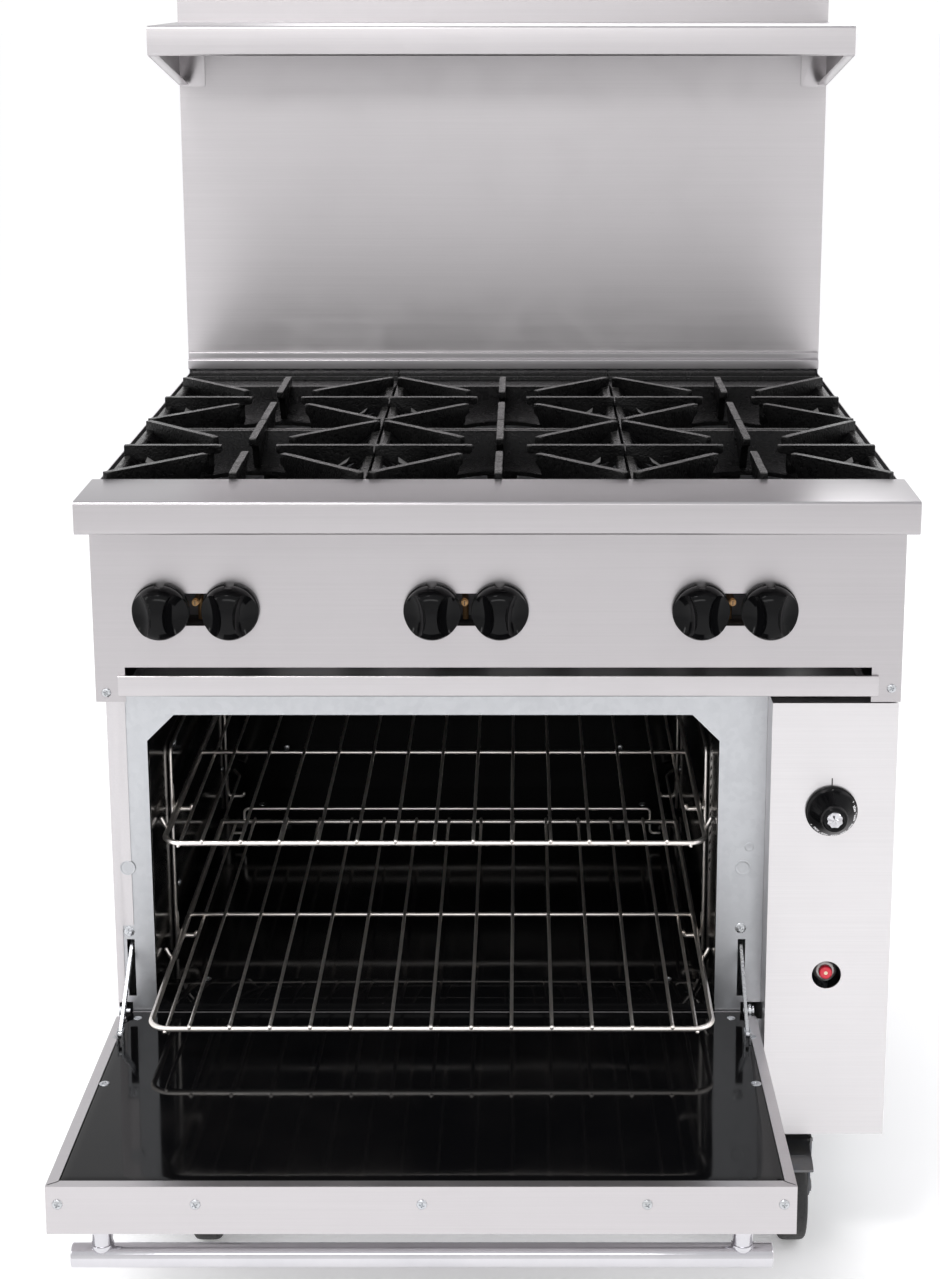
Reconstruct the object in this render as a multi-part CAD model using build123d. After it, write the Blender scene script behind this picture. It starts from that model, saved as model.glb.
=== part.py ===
from build123d import *
import os

os.makedirs("parts", exist_ok=True)

# ---------------------------------------------------------------- driving dimensions (mm)
# Working frame: X to the right from the centreline, Y to the back from the control panel's
# front sheet, Z up from the floor.  Everything is moved by -Y_ORIGIN on export, so the
# origin ends up at the bottom centre of the whole range with its door open.
Y_ORIGIN = 228.488
HALF_W = 457.0            # half of the 914 mm (36 in) body
BODY_BOTTOM = 152.0
BACK_Y = 786.0
SHEET = 1.2
PANEL_TOP = 912.8
LEDGE_TOP = 950.0
LEDGE_FRONT = -79.0
LEDGE_BACK = 33.0
RISER_Y = 745.0
TOP_Z = 1478.0
FRAME_Y = 55.0            # front face of the oven front frame
FRAME_T = 1.5
OVEN_X0, OVEN_X1 = -411.0, 257.5
OVEN_Z0, OVEN_Z1 = 297.0, 662.0
OVEN_BACK = 760.0
SERVICE_X = 313.0
SERVICE_Y = 10.0
DOOR_X0, DOOR_X1 = -457.0, 306.0
DOOR_LEN = 405.0
DOOR_T = 52.0
HINGE_Y, HINGE_Z = 53.0, 289.0
DOOR_REST_TILT = 2.0      # degrees above level when open
ARM_XL, ARM_XR = -439.5, 288.5
ARM_LEN = 170.0
RACK_W, RACK_D = 650.0, 620.0
RACK_X = (OVEN_X0 + OVEN_X1) / 2
RACK_LOW_FRONT, RACK_LOW_Z = -76.0, 331.3
RACK_UP_FRONT, RACK_UP_Z = 56.0, 501.0
GRATE = 298.4
GRATE_PITCH = 299.6
HEAD_TOP = 899.0
GRATE_TOP = 956.0
GRATE_Y = (183.5, 483.1)
KNOB_X = (-379.0, -301.0, -74.0, 2.0, 228.0, 305.0)
KNOB_Z = 806.0
KNOB_R = 32.5
SLOT_X = (-340.0, -36.0, 266.5)
DIAL = (383.6, 562.0)
RESET = (384.0, 357.0)
MANIFOLD = (60.0, 768.0)
PIPE_R = 13.335           # 3/4 in pipe
PIPE_X = 430.0
PIPE_END = 812.0
CASTERS = {"front_left": (-352.0, 85.0), "front_right": (352.0, 85.0),
           "rear_left": (-352.0, 730.0), "rear_right": (352.0, 730.0)}
WHEEL_R = 63.5
TRAIL = 38.0
RUN = 0.05                # radial running clearance


def bx(x0, x1, y0, y1, z0, z1):
    return Pos((x0 + x1) / 2, (y0 + y1) / 2, (z0 + z1) / 2) * Box(abs(x1 - x0), abs(y1 - y0), abs(z1 - z0))


def rod(a, b, r):
    a, b = Vector(*a), Vector(*b)
    d = b - a
    return Plane(origin=a, z_dir=d) * Cylinder(r, d.length, align=(Align.CENTER, Align.CENTER, Align.MIN))


def ball(p, r):
    return Pos(*p) * Sphere(r)


def prism_x(points, x0, x1):
    """A (Y, Z) outline extruded along X from x0 to x1."""
    face = make_face(Polyline(*[(0, y, z) for y, z in points], close=True))
    return Pos(x0, 0, 0) * Solid.extrude(face.face() if hasattr(face, "face") else face, Vector(x1 - x0, 0, 0))


def fuse(shapes):
    out = shapes[0]
    for s in shapes[1:]:
        out = out + s
    return out


NODES = {}


def put(name, *shapes):
    solids = []
    for s in shapes:
        solids.extend(s.solids())
    NODES[name] = solids


# ---------------------------------------------------------------- chassis
def tube_x(x0, x1, y0, y1, z0, z1, t=2.0):
    return bx(x0, x1, y0, y1, z0, z1) - bx(x0 - 1, x1 + 1, y0 + t, y1 - t, z0 + t, z1 - t)


def tube_y(x0, x1, y0, y1, z0, z1, t=2.0):
    return bx(x0, x1, y0, y1, z0, z1) - bx(x0 + t, x1 - t, y0 - 1, y1 + 1, z0 + t, z1 - t)


frame_parts = [
    tube_x(-455.5, 455.5, 57.2, 87, 152, 182), tube_x(-455.5, 455.5, 754, 784, 152, 182),
    tube_y(-455.5, -425.5, 87, 754, 152, 182), tube_y(425.5, 455.5, 87, 754, 152, 182),
    tube_y(298, 328, 87, 754, 152, 182)]
for cx, cy in CASTERS.values():
    plate = bx(cx - 50, cx + 50, cy - 27, cy + 50, 148, 152) if cy < 400 else bx(cx - 50, cx + 50, cy - 50, cy + 50, 148, 152)
    frame_parts.append(plate + rod((cx, cy, 127.5), (cx, cy, 149), 6.0) + rod((cx, cy, 127.5), (cx, cy, 130.6), 9.0))
put("base_frame", *frame_parts)

put("base_pan",
    bx(-455.5, 455.5, 57.2, 784.5, 182, 183.2),
    bx(-455.5, 312.8, 55.2, 56.7, 152, 278))

strip = bx(-457, -435, 53.8, 55, 399, 697) + bx(-457, -448, 53.8, 55, 300, 399)
strip = strip - rod((-440, 50, 472), (-440, 60, 472), 8.5)
strip_low = bx(-457, -455.8, 53.8, 56.6, 152, 300)
put("left_side_panel", bx(-457, -455.8, 56.6, 784.7, 152, 940), strip,
    bx(-457, -455.8, 55, 56.6, 300, 697), strip_low, bx(-457, -455.8, 56.4, 56.6, 697, 912.8))
put("right_side_panel", bx(455.8, 457, 56.6, 784.7, 152, 940))
rear = bx(-457, 457, 784.8, 786, 152, 940) - rod((PIPE_X, 780, MANIFOLD[1]), (PIPE_X, 790, MANIFOLD[1]), 17.6)
for i in range(-3, 4):
    for k in range(3):
        rear = rear - bx(i * 100 - 30, i * 100 + 30, 780, 790, 230 + k * 18, 236 + k * 18)
put("rear_panel", rear)

# ---------------------------------------------------------------- oven front frame and cavity
fy0, fy1 = FRAME_Y, FRAME_Y + FRAME_T
left = bx(-455.6, OVEN_X0, fy0, fy1, 280, 700) - bx(-456, -440, 50, 60, 270, 300)
left = left - bx(ARM_XL - 4.5, ARM_XL + 4.5, 50, 60, 308, 381) - rod((-440, 50, 472), (-440, 60, 472), 8.5)
left = left - rod((-445, 50, 662), (-445, 60, 662), 3.5)
right = bx(OVEN_X1, 312.8, fy0, fy1, 280, 700) - bx(289, 313, 50, 60, 270, 300)
right = right - bx(ARM_XR - 4.5, ARM_XR + 4.5, 50, 60, 308, 381) - rod((288.5, 50, 472), (288.5, 60, 472), 8.5)
wedge = 32.0


def tri(x0, x1):
    face = make_face(Polyline((x0, fy0, OVEN_Z1), (x1, fy0, OVEN_Z1), (x0, fy0, OVEN_Z1 - wedge), close=True))
    return Solid.extrude(face.face() if hasattr(face, "face") else face, Vector(0, fy1 - fy0, 0))


put("oven_front_frame", left, right,
    bx(OVEN_X0, OVEN_X1, fy0, fy1, OVEN_Z1, 700), bx(OVEN_X0, OVEN_X1, fy0, fy1, 280, OVEN_Z0),
    tri(OVEN_X0, OVEN_X0 + wedge), tri(OVEN_X1, OVEN_X1 - wedge))

put("oven_liner",
    bx(OVEN_X0 - 1.2, OVEN_X0, fy1, OVEN_BACK, OVEN_Z0, OVEN_Z1),
    bx(OVEN_X1, OVEN_X1 + 1.2, fy1, OVEN_BACK, OVEN_Z0, OVEN_Z1),
    bx(OVEN_X0 - 1.2, OVEN_X1 + 1.2, fy1, OVEN_BACK + 1.2, OVEN_Z1, OVEN_Z1 + 1.2),
    bx(OVEN_X0 - 1.2, OVEN_X1 + 1.2, OVEN_BACK, OVEN_BACK + 1.2, OVEN_Z0, OVEN_Z1))
put("oven_floor", bx(OVEN_X0 - 1.2, OVEN_X1 + 1.2, fy1, OVEN_BACK + 1.2, OVEN_Z0 - 1.2, OVEN_Z0))
put("oven_insulation",
    bx(-431, -412.4, 58, 759, 297.2, 661.8), bx(258.9, 278, 58, 759, 297.2, 661.8),
    bx(-431, 278, 58, 784.5, 663.4, 690), bx(-431, 278, 762.6, 784.5, 297.2, 663.2))


def guide(side):
    """Chrome wire rack guide on one side of the cavity; side -1 is the left."""
    cx = RACK_X
    wall = cx + side * (334.25 - 3.0)
    rail = cx + side * (RACK_W / 2 - 3.25)
    out = [rod((wall, 190, 306), (wall, 190, 560), 2.5), rod((wall, 660, 306), (wall, 660, 560), 2.5)]
    for zr in (RACK_LOW_Z, RACK_UP_Z):
        zz = zr - 3.25 - 0.3 - 2.5
        w = out
        out = w + [rod((rail, 110, zz), (rail, 735, zz), 2.5),
                   rod((wall + side * 0.0, 190, zz - 4), (rail - side * 2.0, 190, zz - 4), 2.5),
                   rod((wall, 660, zz - 4), (rail - side * 2.0, 660, zz - 4), 2.5)]
    return fuse(out)


put("rack_guides", guide(-1), guide(1))

# ---------------------------------------------------------------- front panels
sheet = bx(-457, 457, 0, 1.2, 738, PANEL_TOP)
for cx in SLOT_X:
    sheet = sheet - bx(cx - 20, cx + 20, -5, 5, 787, 825)
for kx in KNOB_X:
    sheet = sheet - rod((kx, -5, KNOB_Z), (kx, 5, KNOB_Z), 7)
put("control_panel", sheet, bx(423, 457, 0, 1.2, 697, 738), bx(-457, -423, 0, 1.2, 697, 738),
    bx(455.8, 457, 1.2, 56.4, 697, PANEL_TOP), bx(-457, -455.8, 1.2, 56.4, 697, PANEL_TOP))

ledge = bx(-457, 457, LEDGE_FRONT, LEDGE_BACK, 948.8, LEDGE_TOP)
ledge = ledge + bx(-457, 457, LEDGE_FRONT, LEDGE_FRONT + 1.2, 913, 949)
ledge = ledge + bx(-457, 457, LEDGE_FRONT, 1.2, 913, 914.2)
ledge = ledge + bx(-457, 457, LEDGE_BACK - 1.2, LEDGE_BACK, 928, 949)
ledge = ledge + bx(-457, -455.8, LEDGE_FRONT, LEDGE_BACK, 913, 949) + bx(455.8, 457, LEDGE_FRONT, LEDGE_BACK, 913, 949)
put("landing_ledge", ledge)

front = bx(SERVICE_X, 457, SERVICE_Y, SERVICE_Y + 1.2, 152, 692)
front = front - rod((DIAL[0], 5, DIAL[1]), (DIAL[0], 15, DIAL[1]), 12) - rod((RESET[0], 5, RESET[1]), (RESET[0], 15, RESET[1]), 17.2)
put("service_panel", front, bx(SERVICE_X, SERVICE_X + 1.2, 11.2, 57, 152, 692),
    bx(455.8, 457, 11.2, 56.4, 152, 692), bx(SERVICE_X + 1.2, 455.8, 11.2, 50, 690.8, 692))
put("partition_panel", bx(SERVICE_X, SERVICE_X + 1.2, 57.2, 784.5, 183.4, 697))

# ---------------------------------------------------------------- gas train
my, mz = MANIFOLD
pipe = rod((-430, my, mz), (PIPE_X, my, mz), PIPE_R) + ball((PIPE_X, my, mz), PIPE_R + 3) + rod((PIPE_X, my, mz), (PIPE_X, PIPE_END, mz), PIPE_R)
pipe = pipe + rod((-434, my, mz), (-426, my, mz), 16) + rod((PIPE_X, 768, mz), (PIPE_X, PIPE_END - 25, mz), 17)
put("gas_manifold", pipe)

valves = []
for kx in KNOB_X:
    v = rod((kx, 14, KNOB_Z), (kx, 80, KNOB_Z), 11) + rod((kx, my, mz + PIPE_R), (kx, my, KNOB_Z), 7) + rod((kx, 80, KNOB_Z), (kx, 98, KNOB_Z), 7)
    v = v - rod((kx, 13, KNOB_Z), (kx, 38, KNOB_Z), 4 + RUN)
    valves.append(v)
for cx in SLOT_X:
    valves.append(rod((cx - 2, 6, 812), (cx - 2, 50, 812), 3.5) + rod((cx - 2, 50, 812), (cx - 2, 50, mz + PIPE_R - 0.8), 3.5))
put("burner_valves", *valves)

tubes = []
heads = []
for i, gx in enumerate((-GRATE_PITCH, 0.0, GRATE_PITCH)):
    for row, gy in enumerate(GRATE_Y):
        if i == 2:
            kx = KNOB_X[5] if row == 0 else KNOB_X[4]
        else:
            kx = KNOB_X[2 * i + 1] if row == 0 else KNOB_X[2 * i]
        a = (kx, 104, KNOB_Z + 4)
        hz = HEAD_TOP
        b = (gx, gy, hz - 62)
        tubes.append(rod(a, b, 14) + ball(b, 20) + rod(b, (gx, gy, hz - 29.2), 20))
        head = rod((gx, gy, hz - 29), (gx, gy, hz - 19), 34) + rod((gx, gy, hz - 20), (gx, gy, hz - 6), 48) + rod((gx, gy, hz - 7), (gx, gy, hz), 40)
        heads.append(head - rod((gx, gy, hz - 10), (gx, gy, hz + 6), 12))
oven_burner = rod((-76, 120, 235), (-76, 690, 235), 16)
tubes.append(oven_burner + bx(-120, -32, 300, 690, 231, 239))
put("burner_tubes", *tubes)
put("burner_heads", *heads)

put("oven_controls",
    bx(355, 412, 24, 70, 535, 590) - rod((DIAL[0], 20, DIAL[1]), (DIAL[0], 44, DIAL[1]), 3 + RUN),
    (rod((RESET[0], 20, RESET[1]), (RESET[0], 60, RESET[1]), 13) + bx(366, 402, 58, 100, 335, 380)
     - rod((RESET[0], 19, RESET[1]), (RESET[0], 58, RESET[1]), 8 + 0.1)) + bx(378, 390, 40, 41.5, 325, 345.5))

# ---------------------------------------------------------------- cooking top
supports = [bx(-455.4, -436, 34.6, 640, 920, 929.7), bx(436, 455.4, 34.6, 640, 920, 929.7),
            bx(-158, -142, 48.2, 620, 920, 929.7), bx(142, 158, 48.2, 620, 920, 929.7),
            bx(-436, 436, 34.6, 48, 920, 929.7), bx(-436, 436, 621, 640, 920, 929.7)]
for x0, x1 in ((-448.8, -150.4), (-149.2, 149.2), (150.4, 448.8)):
    supports.append(bx(x0, x1, 640.4, 727, 922, 940) + bx(x0, x1, 706, 727, 939, 948) + bx(x0, x1, 690, 698, 939, 945))
put("grate_supports", *supports)


def grate(gx, gy):
    h = GRATE / 2
    outer = Solid.extrude(make_face(Rectangle(GRATE, GRATE).edges()).face(), Vector(0, 0, 8))
    outer = Pos(0, 0, 930) * outer
    rim = outer - bx(-h + 9, h - 9, -h + 9, h - 9, 925, 945)
    bowl_out = loft([Pos(0, 0, 938) * Rectangle(GRATE - 2, GRATE - 2).face(), Pos(0, 0, 900) * Rectangle(156, 156).face()])
    bowl_in = loft([Pos(0, 0, 944.333) * Rectangle(GRATE + 14.37, GRATE + 14.37).face(), Pos(0, 0, 893.667) * Rectangle(124, 124).face()])
    bowl = bowl_out - bowl_in - bx(-h - 2, h + 2, -h - 2, h + 2, 937.9, 960)
    parts = [rim, bowl]
    for ang in (0, 90, 180, 270):
        parts.append(Rot(0, 0, ang) * bx(33, h - 0.2, -4, 4, 930, GRATE_TOP))
        inner = Rot(0, 0, ang) * (Rot(0, 0, 45) * bx(64, 205, -4, 4, 930, GRATE_TOP))
        parts.append(inner)
    body = fuse(parts) & bx(-h, h, -h, h, 880, 960)
    return Pos(gx, gy, 0) * body


base_grate = grate(0, 0)
for i, gx in enumerate((-GRATE_PITCH, 0.0, GRATE_PITCH)):
    for row, gy in enumerate(GRATE_Y):
        put(("front", "rear")[row] + "_grate_" + ("left", "centre", "right")[i], Pos(gx, gy, 0) * base_grate)

# ---------------------------------------------------------------- riser and shelf
put("riser_front", bx(-457, 457, RISER_Y, RISER_Y + 1.2, 948, TOP_Z),
    bx(-455, 455, 738, 745, 962, 971), bx(-455, 455, 727.5, 745, 948.4, 962))
put("riser_rear", bx(-457, 457, 784.8, 786, 940.2, TOP_Z),
    bx(-457, -455.8, 746.2, 784.8, 940.2, TOP_Z), bx(455.8, 457, 746.2, 784.8, 940.2, TOP_Z))


def gusset(x0, x1):
    return prism_x([(489.2, 1440), (489.2, 1403), (744.8, 1352), (744.8, 1440)], x0, x1)


put("high_shelf", bx(-457, 457, 488, 744.8, 1440, 1441.2),
    bx(-457, 457, 488, 489.2, 1403, 1440) + bx(-455.8, 455.8, 489.2, 500, 1403, 1404.2),
    gusset(-457, -455.8), gusset(455.8, 457), bx(-455.8, 455.8, 743.6, 744.8, 1396, 1440))

# ---------------------------------------------------------------- door (built level, then tilted to its rest angle)
HINGE_AXIS = Axis((0, HINGE_Y, HINGE_Z), (-1, 0, 0))


def dbx(x0, x1, y0, y1, z0, z1):
    """Box in door coordinates: y from the hinge axis (negative is towards the front), z from the inner face."""
    return bx(x0, x1, HINGE_Y + y0, HINGE_Y + y1, HINGE_Z + z0, HINGE_Z + z1)


def drod(x, y, z, ax, length, r):
    p = (x, HINGE_Y + y, HINGE_Z + z)
    q = {"x": (p[0] + length, p[1], p[2]), "y": (p[0], p[1] + length, p[2]), "z": (p[0], p[1], p[2] + length)}[ax]
    return rod(p, q, r)


def put_door(name, *shapes):
    put(name, *[s.rotate(HINGE_AXIS, DOOR_REST_TILT) for s in shapes])


notches = [dbx(-458, -440, -14, 3, -14, 3), dbx(289, 307, -14, 3, -14, 3)]
skin = dbx(DOOR_X0, DOOR_X1, -DOOR_LEN, -1, -DOOR_T, 0)
skin = skin - dbx(DOOR_X0 + 1.2, DOOR_X1 - 1.2, -DOOR_LEN + 1.2, -2.2, -DOOR_T + 1.2, -1.2)
skin = skin - dbx(-445.5, 294.5, -393, -2.2, -5, 5)
liner = dbx(-445.3, 294.3, -392.8, -2.4, -1.6, -0.4)
for n in notches:
    skin = skin - n
    liner = liner - n
put_door("door_outer_skin", skin)
put_door("door_inner_liner", liner)
put_door("door_insulation", dbx(-434, 283, -388, -16, -50.6, -1.8))
put_door("door_handle", drod(-437, -380, -90, "x", 722, 12.5) - drod(-438, -380, -90, "x", 14, 10.5) - drod(272, -380, -90, "x", 14, 10.5),
         (drod(-405.6, -380, -90, "z", 37.9, 10.75) - drod(-437, -380, -90, "x", 722, 12.5)),
         (drod(254, -380, -90, "z", 37.9, 10.75) - drod(-437, -380, -90, "x", 722, 12.5)))
fit = []
for ax, s in ((ARM_XL, 1), (ARM_XR, 1)):
    ears = dbx(ax - 4, ax - 2.3, -88, -76, -0.4, 15) + dbx(ax + 2.3, ax + 4, -88, -76, -0.4, 15) + drod(ax - 4, -82, 10, "x", 8, 3.0)
    fit.append(ears)
for lx in (-451.0, 298.0):
    leaf = drod(lx, 0, 0, "x", 3, 9) + dbx(lx, lx + 3, -34, 0, -13.5, -2) - drod(lx - 1, 0, 0, "x", 5, 4 + RUN)
    fit.append(leaf)
put_door("door_fittings", *fit)
screws = []
for sx in (-445, -305, -75, 154, 293):
    screws.append(drod(sx, -DOOR_LEN, -19.5, "y", -2.4, 5.5))
for sx, sy in ((-439, -183), (288.0, -183)):
    screws.append(drod(sx, sy, -0.4, "z", 2.4, 6.0))
for sx, sy in ((-431, -18), (276, -18)):
    screws.append(drod(sx, sy, -0.4, "z", 2.0, 5.0))
put_door("door_screws", *screws)

hb = []
for px, s in ((-455.5, 1), (304.5, -1)):
    x0, x1 = sorted((px, px + 2 * s))
    plate = rod((x0, HINGE_Y, HINGE_Z), (x1, HINGE_Y, HINGE_Z), 7) + bx(x0, x1, HINGE_Y, 75, 282, 296) + bx(x0, x1, 58, 75, 258, 296)
    hb.append(plate + rod((px, HINGE_Y, HINGE_Z), (px + 12.5 * s, HINGE_Y, HINGE_Z), 4.0))
put("hinge_brackets", *hb)

# stay arms: flat bars from a pivot on the door, in through the slots of the front frame
import math
t = math.radians(DOOR_REST_TILT)
PIV = (HINGE_Y - 82 * math.cos(t) + 10 * math.sin(t), HINGE_Z + 82 * math.sin(t) + 10 * math.cos(t))
ARM_ANGLE = 36.7
for name, ax in (("stay_arm_left", ARM_XL), ("stay_arm_right", ARM_XR)):
    arm = bx(ax - 1.8, ax + 1.8, PIV[0], PIV[0] + ARM_LEN, PIV[1] - 4, PIV[1] + 4) + rod((ax - 1.8, PIV[0], PIV[1]), (ax + 1.8, PIV[0], PIV[1]), 4.6)
    arm = arm - rod((ax - 5, PIV[0], PIV[1]), (ax + 5, PIV[0], PIV[1]), 3 + RUN)
    arm = arm - rod((ax - 5, PIV[0] + ARM_LEN - 7, PIV[1]), (ax + 5, PIV[0] + ARM_LEN - 7, PIV[1]), 2.2)
    put(name, arm.rotate(Axis((0, PIV[0], PIV[1]), (1, 0, 0)), ARM_ANGLE))

# ---------------------------------------------------------------- racks
def rack(front, z):
    """Chrome wire rack: front is the outer front edge, z the frame rod's centre."""
    r, w = 3.25, 2.2
    x0, x1 = RACK_X - RACK_W / 2 + r, RACK_X + RACK_W / 2 - r
    y0, y1 = front + r, front + RACK_D - r
    cr = 22.0
    path = (Line((x0, y1, z), (x0, y0 + cr, z)) + Line((x0 + cr, y0, z), (x1 - cr, y0, z)) + Line((x1, y0 + cr, z), (x1, y1, z)))
    parts = [rod((x0, y1, z), (x0, y0 + cr, z), r), rod((x0 + cr, y0, z), (x1 - cr, y0, z), r), rod((x1, y0 + cr, z), (x1, y1, z), r)]
    for cx, sx in ((x0 + cr, -1), (x1 - cr, 1)):
        ring = Pos(cx, y0 + cr, z) * Torus(cr, r)
        ring = ring & bx(min(cx, cx + sx * 60), max(cx, cx + sx * 60), y0 - 10, y0 + cr, z - 10, z + 10)
        parts.append(ring)
    parts.append(rod((x0, y1 - 2, z), (x1, y1 - 2, z), r))
    parts.append(rod((x0, (y0 + y1) / 2, z - 0.8), (x1, (y0 + y1) / 2, z - 0.8), r - 0.6))
    n = 13
    pitch = 45.8
    for i in range(n):
        wx = RACK_X + (i - (n - 1) / 2) * pitch
        parts.append(rod((wx, y0 - 1.5, z + 3.6), (wx, y1 + 1.2, z + 3.6), w))
    for s in (-1, 1):
        sx = RACK_X + s * (RACK_W / 2 - 22)
        parts.append(rod((sx, y0 + 8, z - 4.6), (sx, y1, z - 4.6), w))
        parts.append(rod((sx, y0 + 2, z - 3.4), (sx, y0 + 12, z - 4.6), w))
    a, b = RACK_X - 290, RACK_X + 285
    zt, zb = z + 19, z - 20
    parts.append(rod((a, y1 + 0.8, zt), (b, y1 + 0.8, zt), w))
    for px in (a, b):
        parts.append(rod((px, y1 + 0.8, zb), (px, y1 + 0.8, zt), w))
        parts.append(ball((px, y1 + 0.8, zt), w))
    return fuse(parts)


put("rack_upper", rack(RACK_UP_FRONT, RACK_UP_Z))
put("rack_lower", rack(RACK_LOW_FRONT, RACK_LOW_Z))

# ---------------------------------------------------------------- crumb tray
put("crumb_tray", bx(-431, 431, -4, -0.6, 704, 729), bx(-418, 418, -0.6, 690, 704, 705.2),
    bx(-418, -416.8, -0.6, 690, 705.2, 722), bx(416.8, 418, -0.6, 690, 705.2, 722), bx(-416.8, 416.8, 688.8, 690, 705.2, 722))

# ---------------------------------------------------------------- knobs, dial, button
def knob(kx):
    prof = make_face(Polyline((0, 0), (KNOB_R, 0), (KNOB_R, 7), (30.5, 9.5), (28.5, 24), (25, 30), (20, 31.5), (0, 31.5), close=True))
    body = revolve(Rot(90, 0, 0) * prof, Axis((0, 0, 0), (0, 0, 1)), 360)
    body = Rot(90, 0, 0) * body
    body = Pos(0, -2.5, 0) * body
    for s in (-1, 1):
        body = body - rod((s * 47, -44, -60), (s * 47, -44, 60), 39)
    body = body - rod((0, -20, KNOB_R + 1.5), (0, 0, KNOB_R + 1.5), 5.0)
    body = body + rod((0, -3, 0), (0, 34, 0), 4.0)
    return Pos(kx, 0, KNOB_Z) * body


for i, kx in enumerate(KNOB_X):
    put("burner_knob_%d" % (i + 1), knob(kx))

dial = Pos(0, 0, 0) * (rod((0, 8.5, 0), (0, 4.5, 0), 30) +
                       (Plane(origin=(0, 4.6, 0), z_dir=(0, -1, 0)) * Cone(30, 14.5, 22, align=(Align.CENTER, Align.CENTER, Align.MIN))) +
                       rod((0, -17, 0), (0, -22, 0), 13.5) + rod((0, 8, 0), (0, 42, 0), 3.0))
put("thermostat_dial", Pos(DIAL[0], 0, DIAL[1]) * dial)
put("reset_button", rod((RESET[0], 14, RESET[1]), (RESET[0], 48, RESET[1]), 8.0))

# ---------------------------------------------------------------- casters
for cname, (cx, cy) in CASTERS.items():
    arm_poly = [(24, 136), (-57, 136), (-57, 120), (-50, 78), (-50, 52), (-26, 52), (-26, 78), (12, 122), (24, 126)]
    pts = [(cy + a, b) for a, b in arm_poly]
    fork = prism_x(pts, cx + 21, cx + 24) + prism_x(pts, cx - 24, cx - 21) + bx(cx - 24, cx + 24, cy - 46, cy + 24, 131, 136)
    fork = fork + rod((cx, cy, 135), (cx, cy, 147.7), 24)
    fork = fork - rod((cx, cy, 120), (cx, cy, 150), 6 + RUN)
    fork = fork + rod((cx - 27, cy - TRAIL, WHEEL_R), (cx + 27, cy - TRAIL, WHEEL_R), 5.0)
    if "front" in cname:
        fork = fork - rod((cx - 30, cy - 51, 131), (cx - 18, cy - 51, 131), 2.5 + RUN) - rod((cx + 18, cy - 51, 131), (cx + 30, cy - 51, 131), 2.5 + RUN)
    put("caster_fork_" + cname, fork)
    wheel = rod((cx - 16, cy - TRAIL, WHEEL_R), (cx + 16, cy - TRAIL, WHEEL_R), WHEEL_R)
    wheel = wheel - rod((cx - 20, cy - TRAIL, WHEEL_R), (cx - 12, cy - TRAIL, WHEEL_R), 46) - rod((cx + 12, cy - TRAIL, WHEEL_R), (cx + 20, cy - TRAIL, WHEEL_R), 46)
    wheel = wheel + rod((cx - 20, cy - TRAIL, WHEEL_R), (cx + 20, cy - TRAIL, WHEEL_R), 14)
    wheel = wheel - rod((cx - 25, cy - TRAIL, WHEEL_R), (cx + 25, cy - TRAIL, WHEEL_R), 5 + RUN)
    put("caster_wheel_" + cname, wheel)
    if "front" in cname:
        lever = prism_x([(cy - 47, 129), (cy - 47, 133), (cy - 86, 133), (cy - 112, 126.5), (cy - 112, 123), (cy - 86, 129.3)], cx - 19, cx + 19)
        lever = lever + rod((cx - 25.5, cy - 51, 131), (cx + 25.5, cy - 51, 131), 2.5)
        put("brake_lever_" + cname, lever)

# ---------------------------------------------------------------- small fixed fasteners
bs = [rod((-445, 0, 708), (-445, -2.4, 708), 5.5), rod((446, 0, 713), (446, -2.4, 713), 5.5)]
for px, pz, r, h in ((-441, 391, 6.5, 1.4), (287, 395, 6.5, 1.4), (295, 498, 5.5, 0.8)):
    bs.append(rod((px, 55, pz), (px, 55 - h, pz), r))
put("body_screws", *bs)

# ---------------------------------------------------------------- export
lo = [1e9] * 3
hi = [-1e9] * 3
for name, solids in NODES.items():
    for s in solids:
        b = s.bounding_box()
        for k, (a, c) in enumerate(((b.min.X, b.max.X), (b.min.Y, b.max.Y), (b.min.Z, b.max.Z))):
            lo[k] = min(lo[k], a)
            hi[k] = max(hi[k], c)
print("nodes", len(NODES), "low", [round(v, 3) for v in lo], "high", [round(v, 3) for v in hi], "Y centre", round((lo[1] + hi[1]) / 2, 3))
for name, solids in NODES.items():
    moved = [Pos(0, -Y_ORIGIN, 0) * s for s in solids]
    shape = moved[0] if len(moved) == 1 else Compound(children=moved)
    export_step(shape, "parts/%s.step" % name)
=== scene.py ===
import bpy, bmesh, math
from mathutils import Vector, Matrix, noise


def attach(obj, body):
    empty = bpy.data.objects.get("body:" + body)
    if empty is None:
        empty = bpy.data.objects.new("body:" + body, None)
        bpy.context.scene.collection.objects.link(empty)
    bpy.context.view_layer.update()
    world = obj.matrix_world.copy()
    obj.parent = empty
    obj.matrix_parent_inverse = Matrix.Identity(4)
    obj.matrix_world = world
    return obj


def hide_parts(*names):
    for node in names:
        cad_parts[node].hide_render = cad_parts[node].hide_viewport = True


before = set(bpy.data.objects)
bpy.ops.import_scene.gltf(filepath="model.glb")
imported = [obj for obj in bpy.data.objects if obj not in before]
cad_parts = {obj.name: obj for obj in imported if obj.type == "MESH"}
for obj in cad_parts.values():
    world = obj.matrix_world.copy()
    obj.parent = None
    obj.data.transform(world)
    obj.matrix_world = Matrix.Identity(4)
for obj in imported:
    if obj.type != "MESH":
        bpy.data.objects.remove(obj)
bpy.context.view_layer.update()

# ------------------------------------------------------------------ frame helpers
Y0 = 228.488
HY, HZ, TILT = 53.0, 289.0, math.radians(2.0)
SCN = bpy.context.scene
COL = SCN.collection


def V(x, y, z):
    """Millimetres in the design frame (Y from the control panel's front) to metres in the row frame."""
    return Vector((x / 1000.0, (y - Y0) / 1000.0, z / 1000.0))


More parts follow.
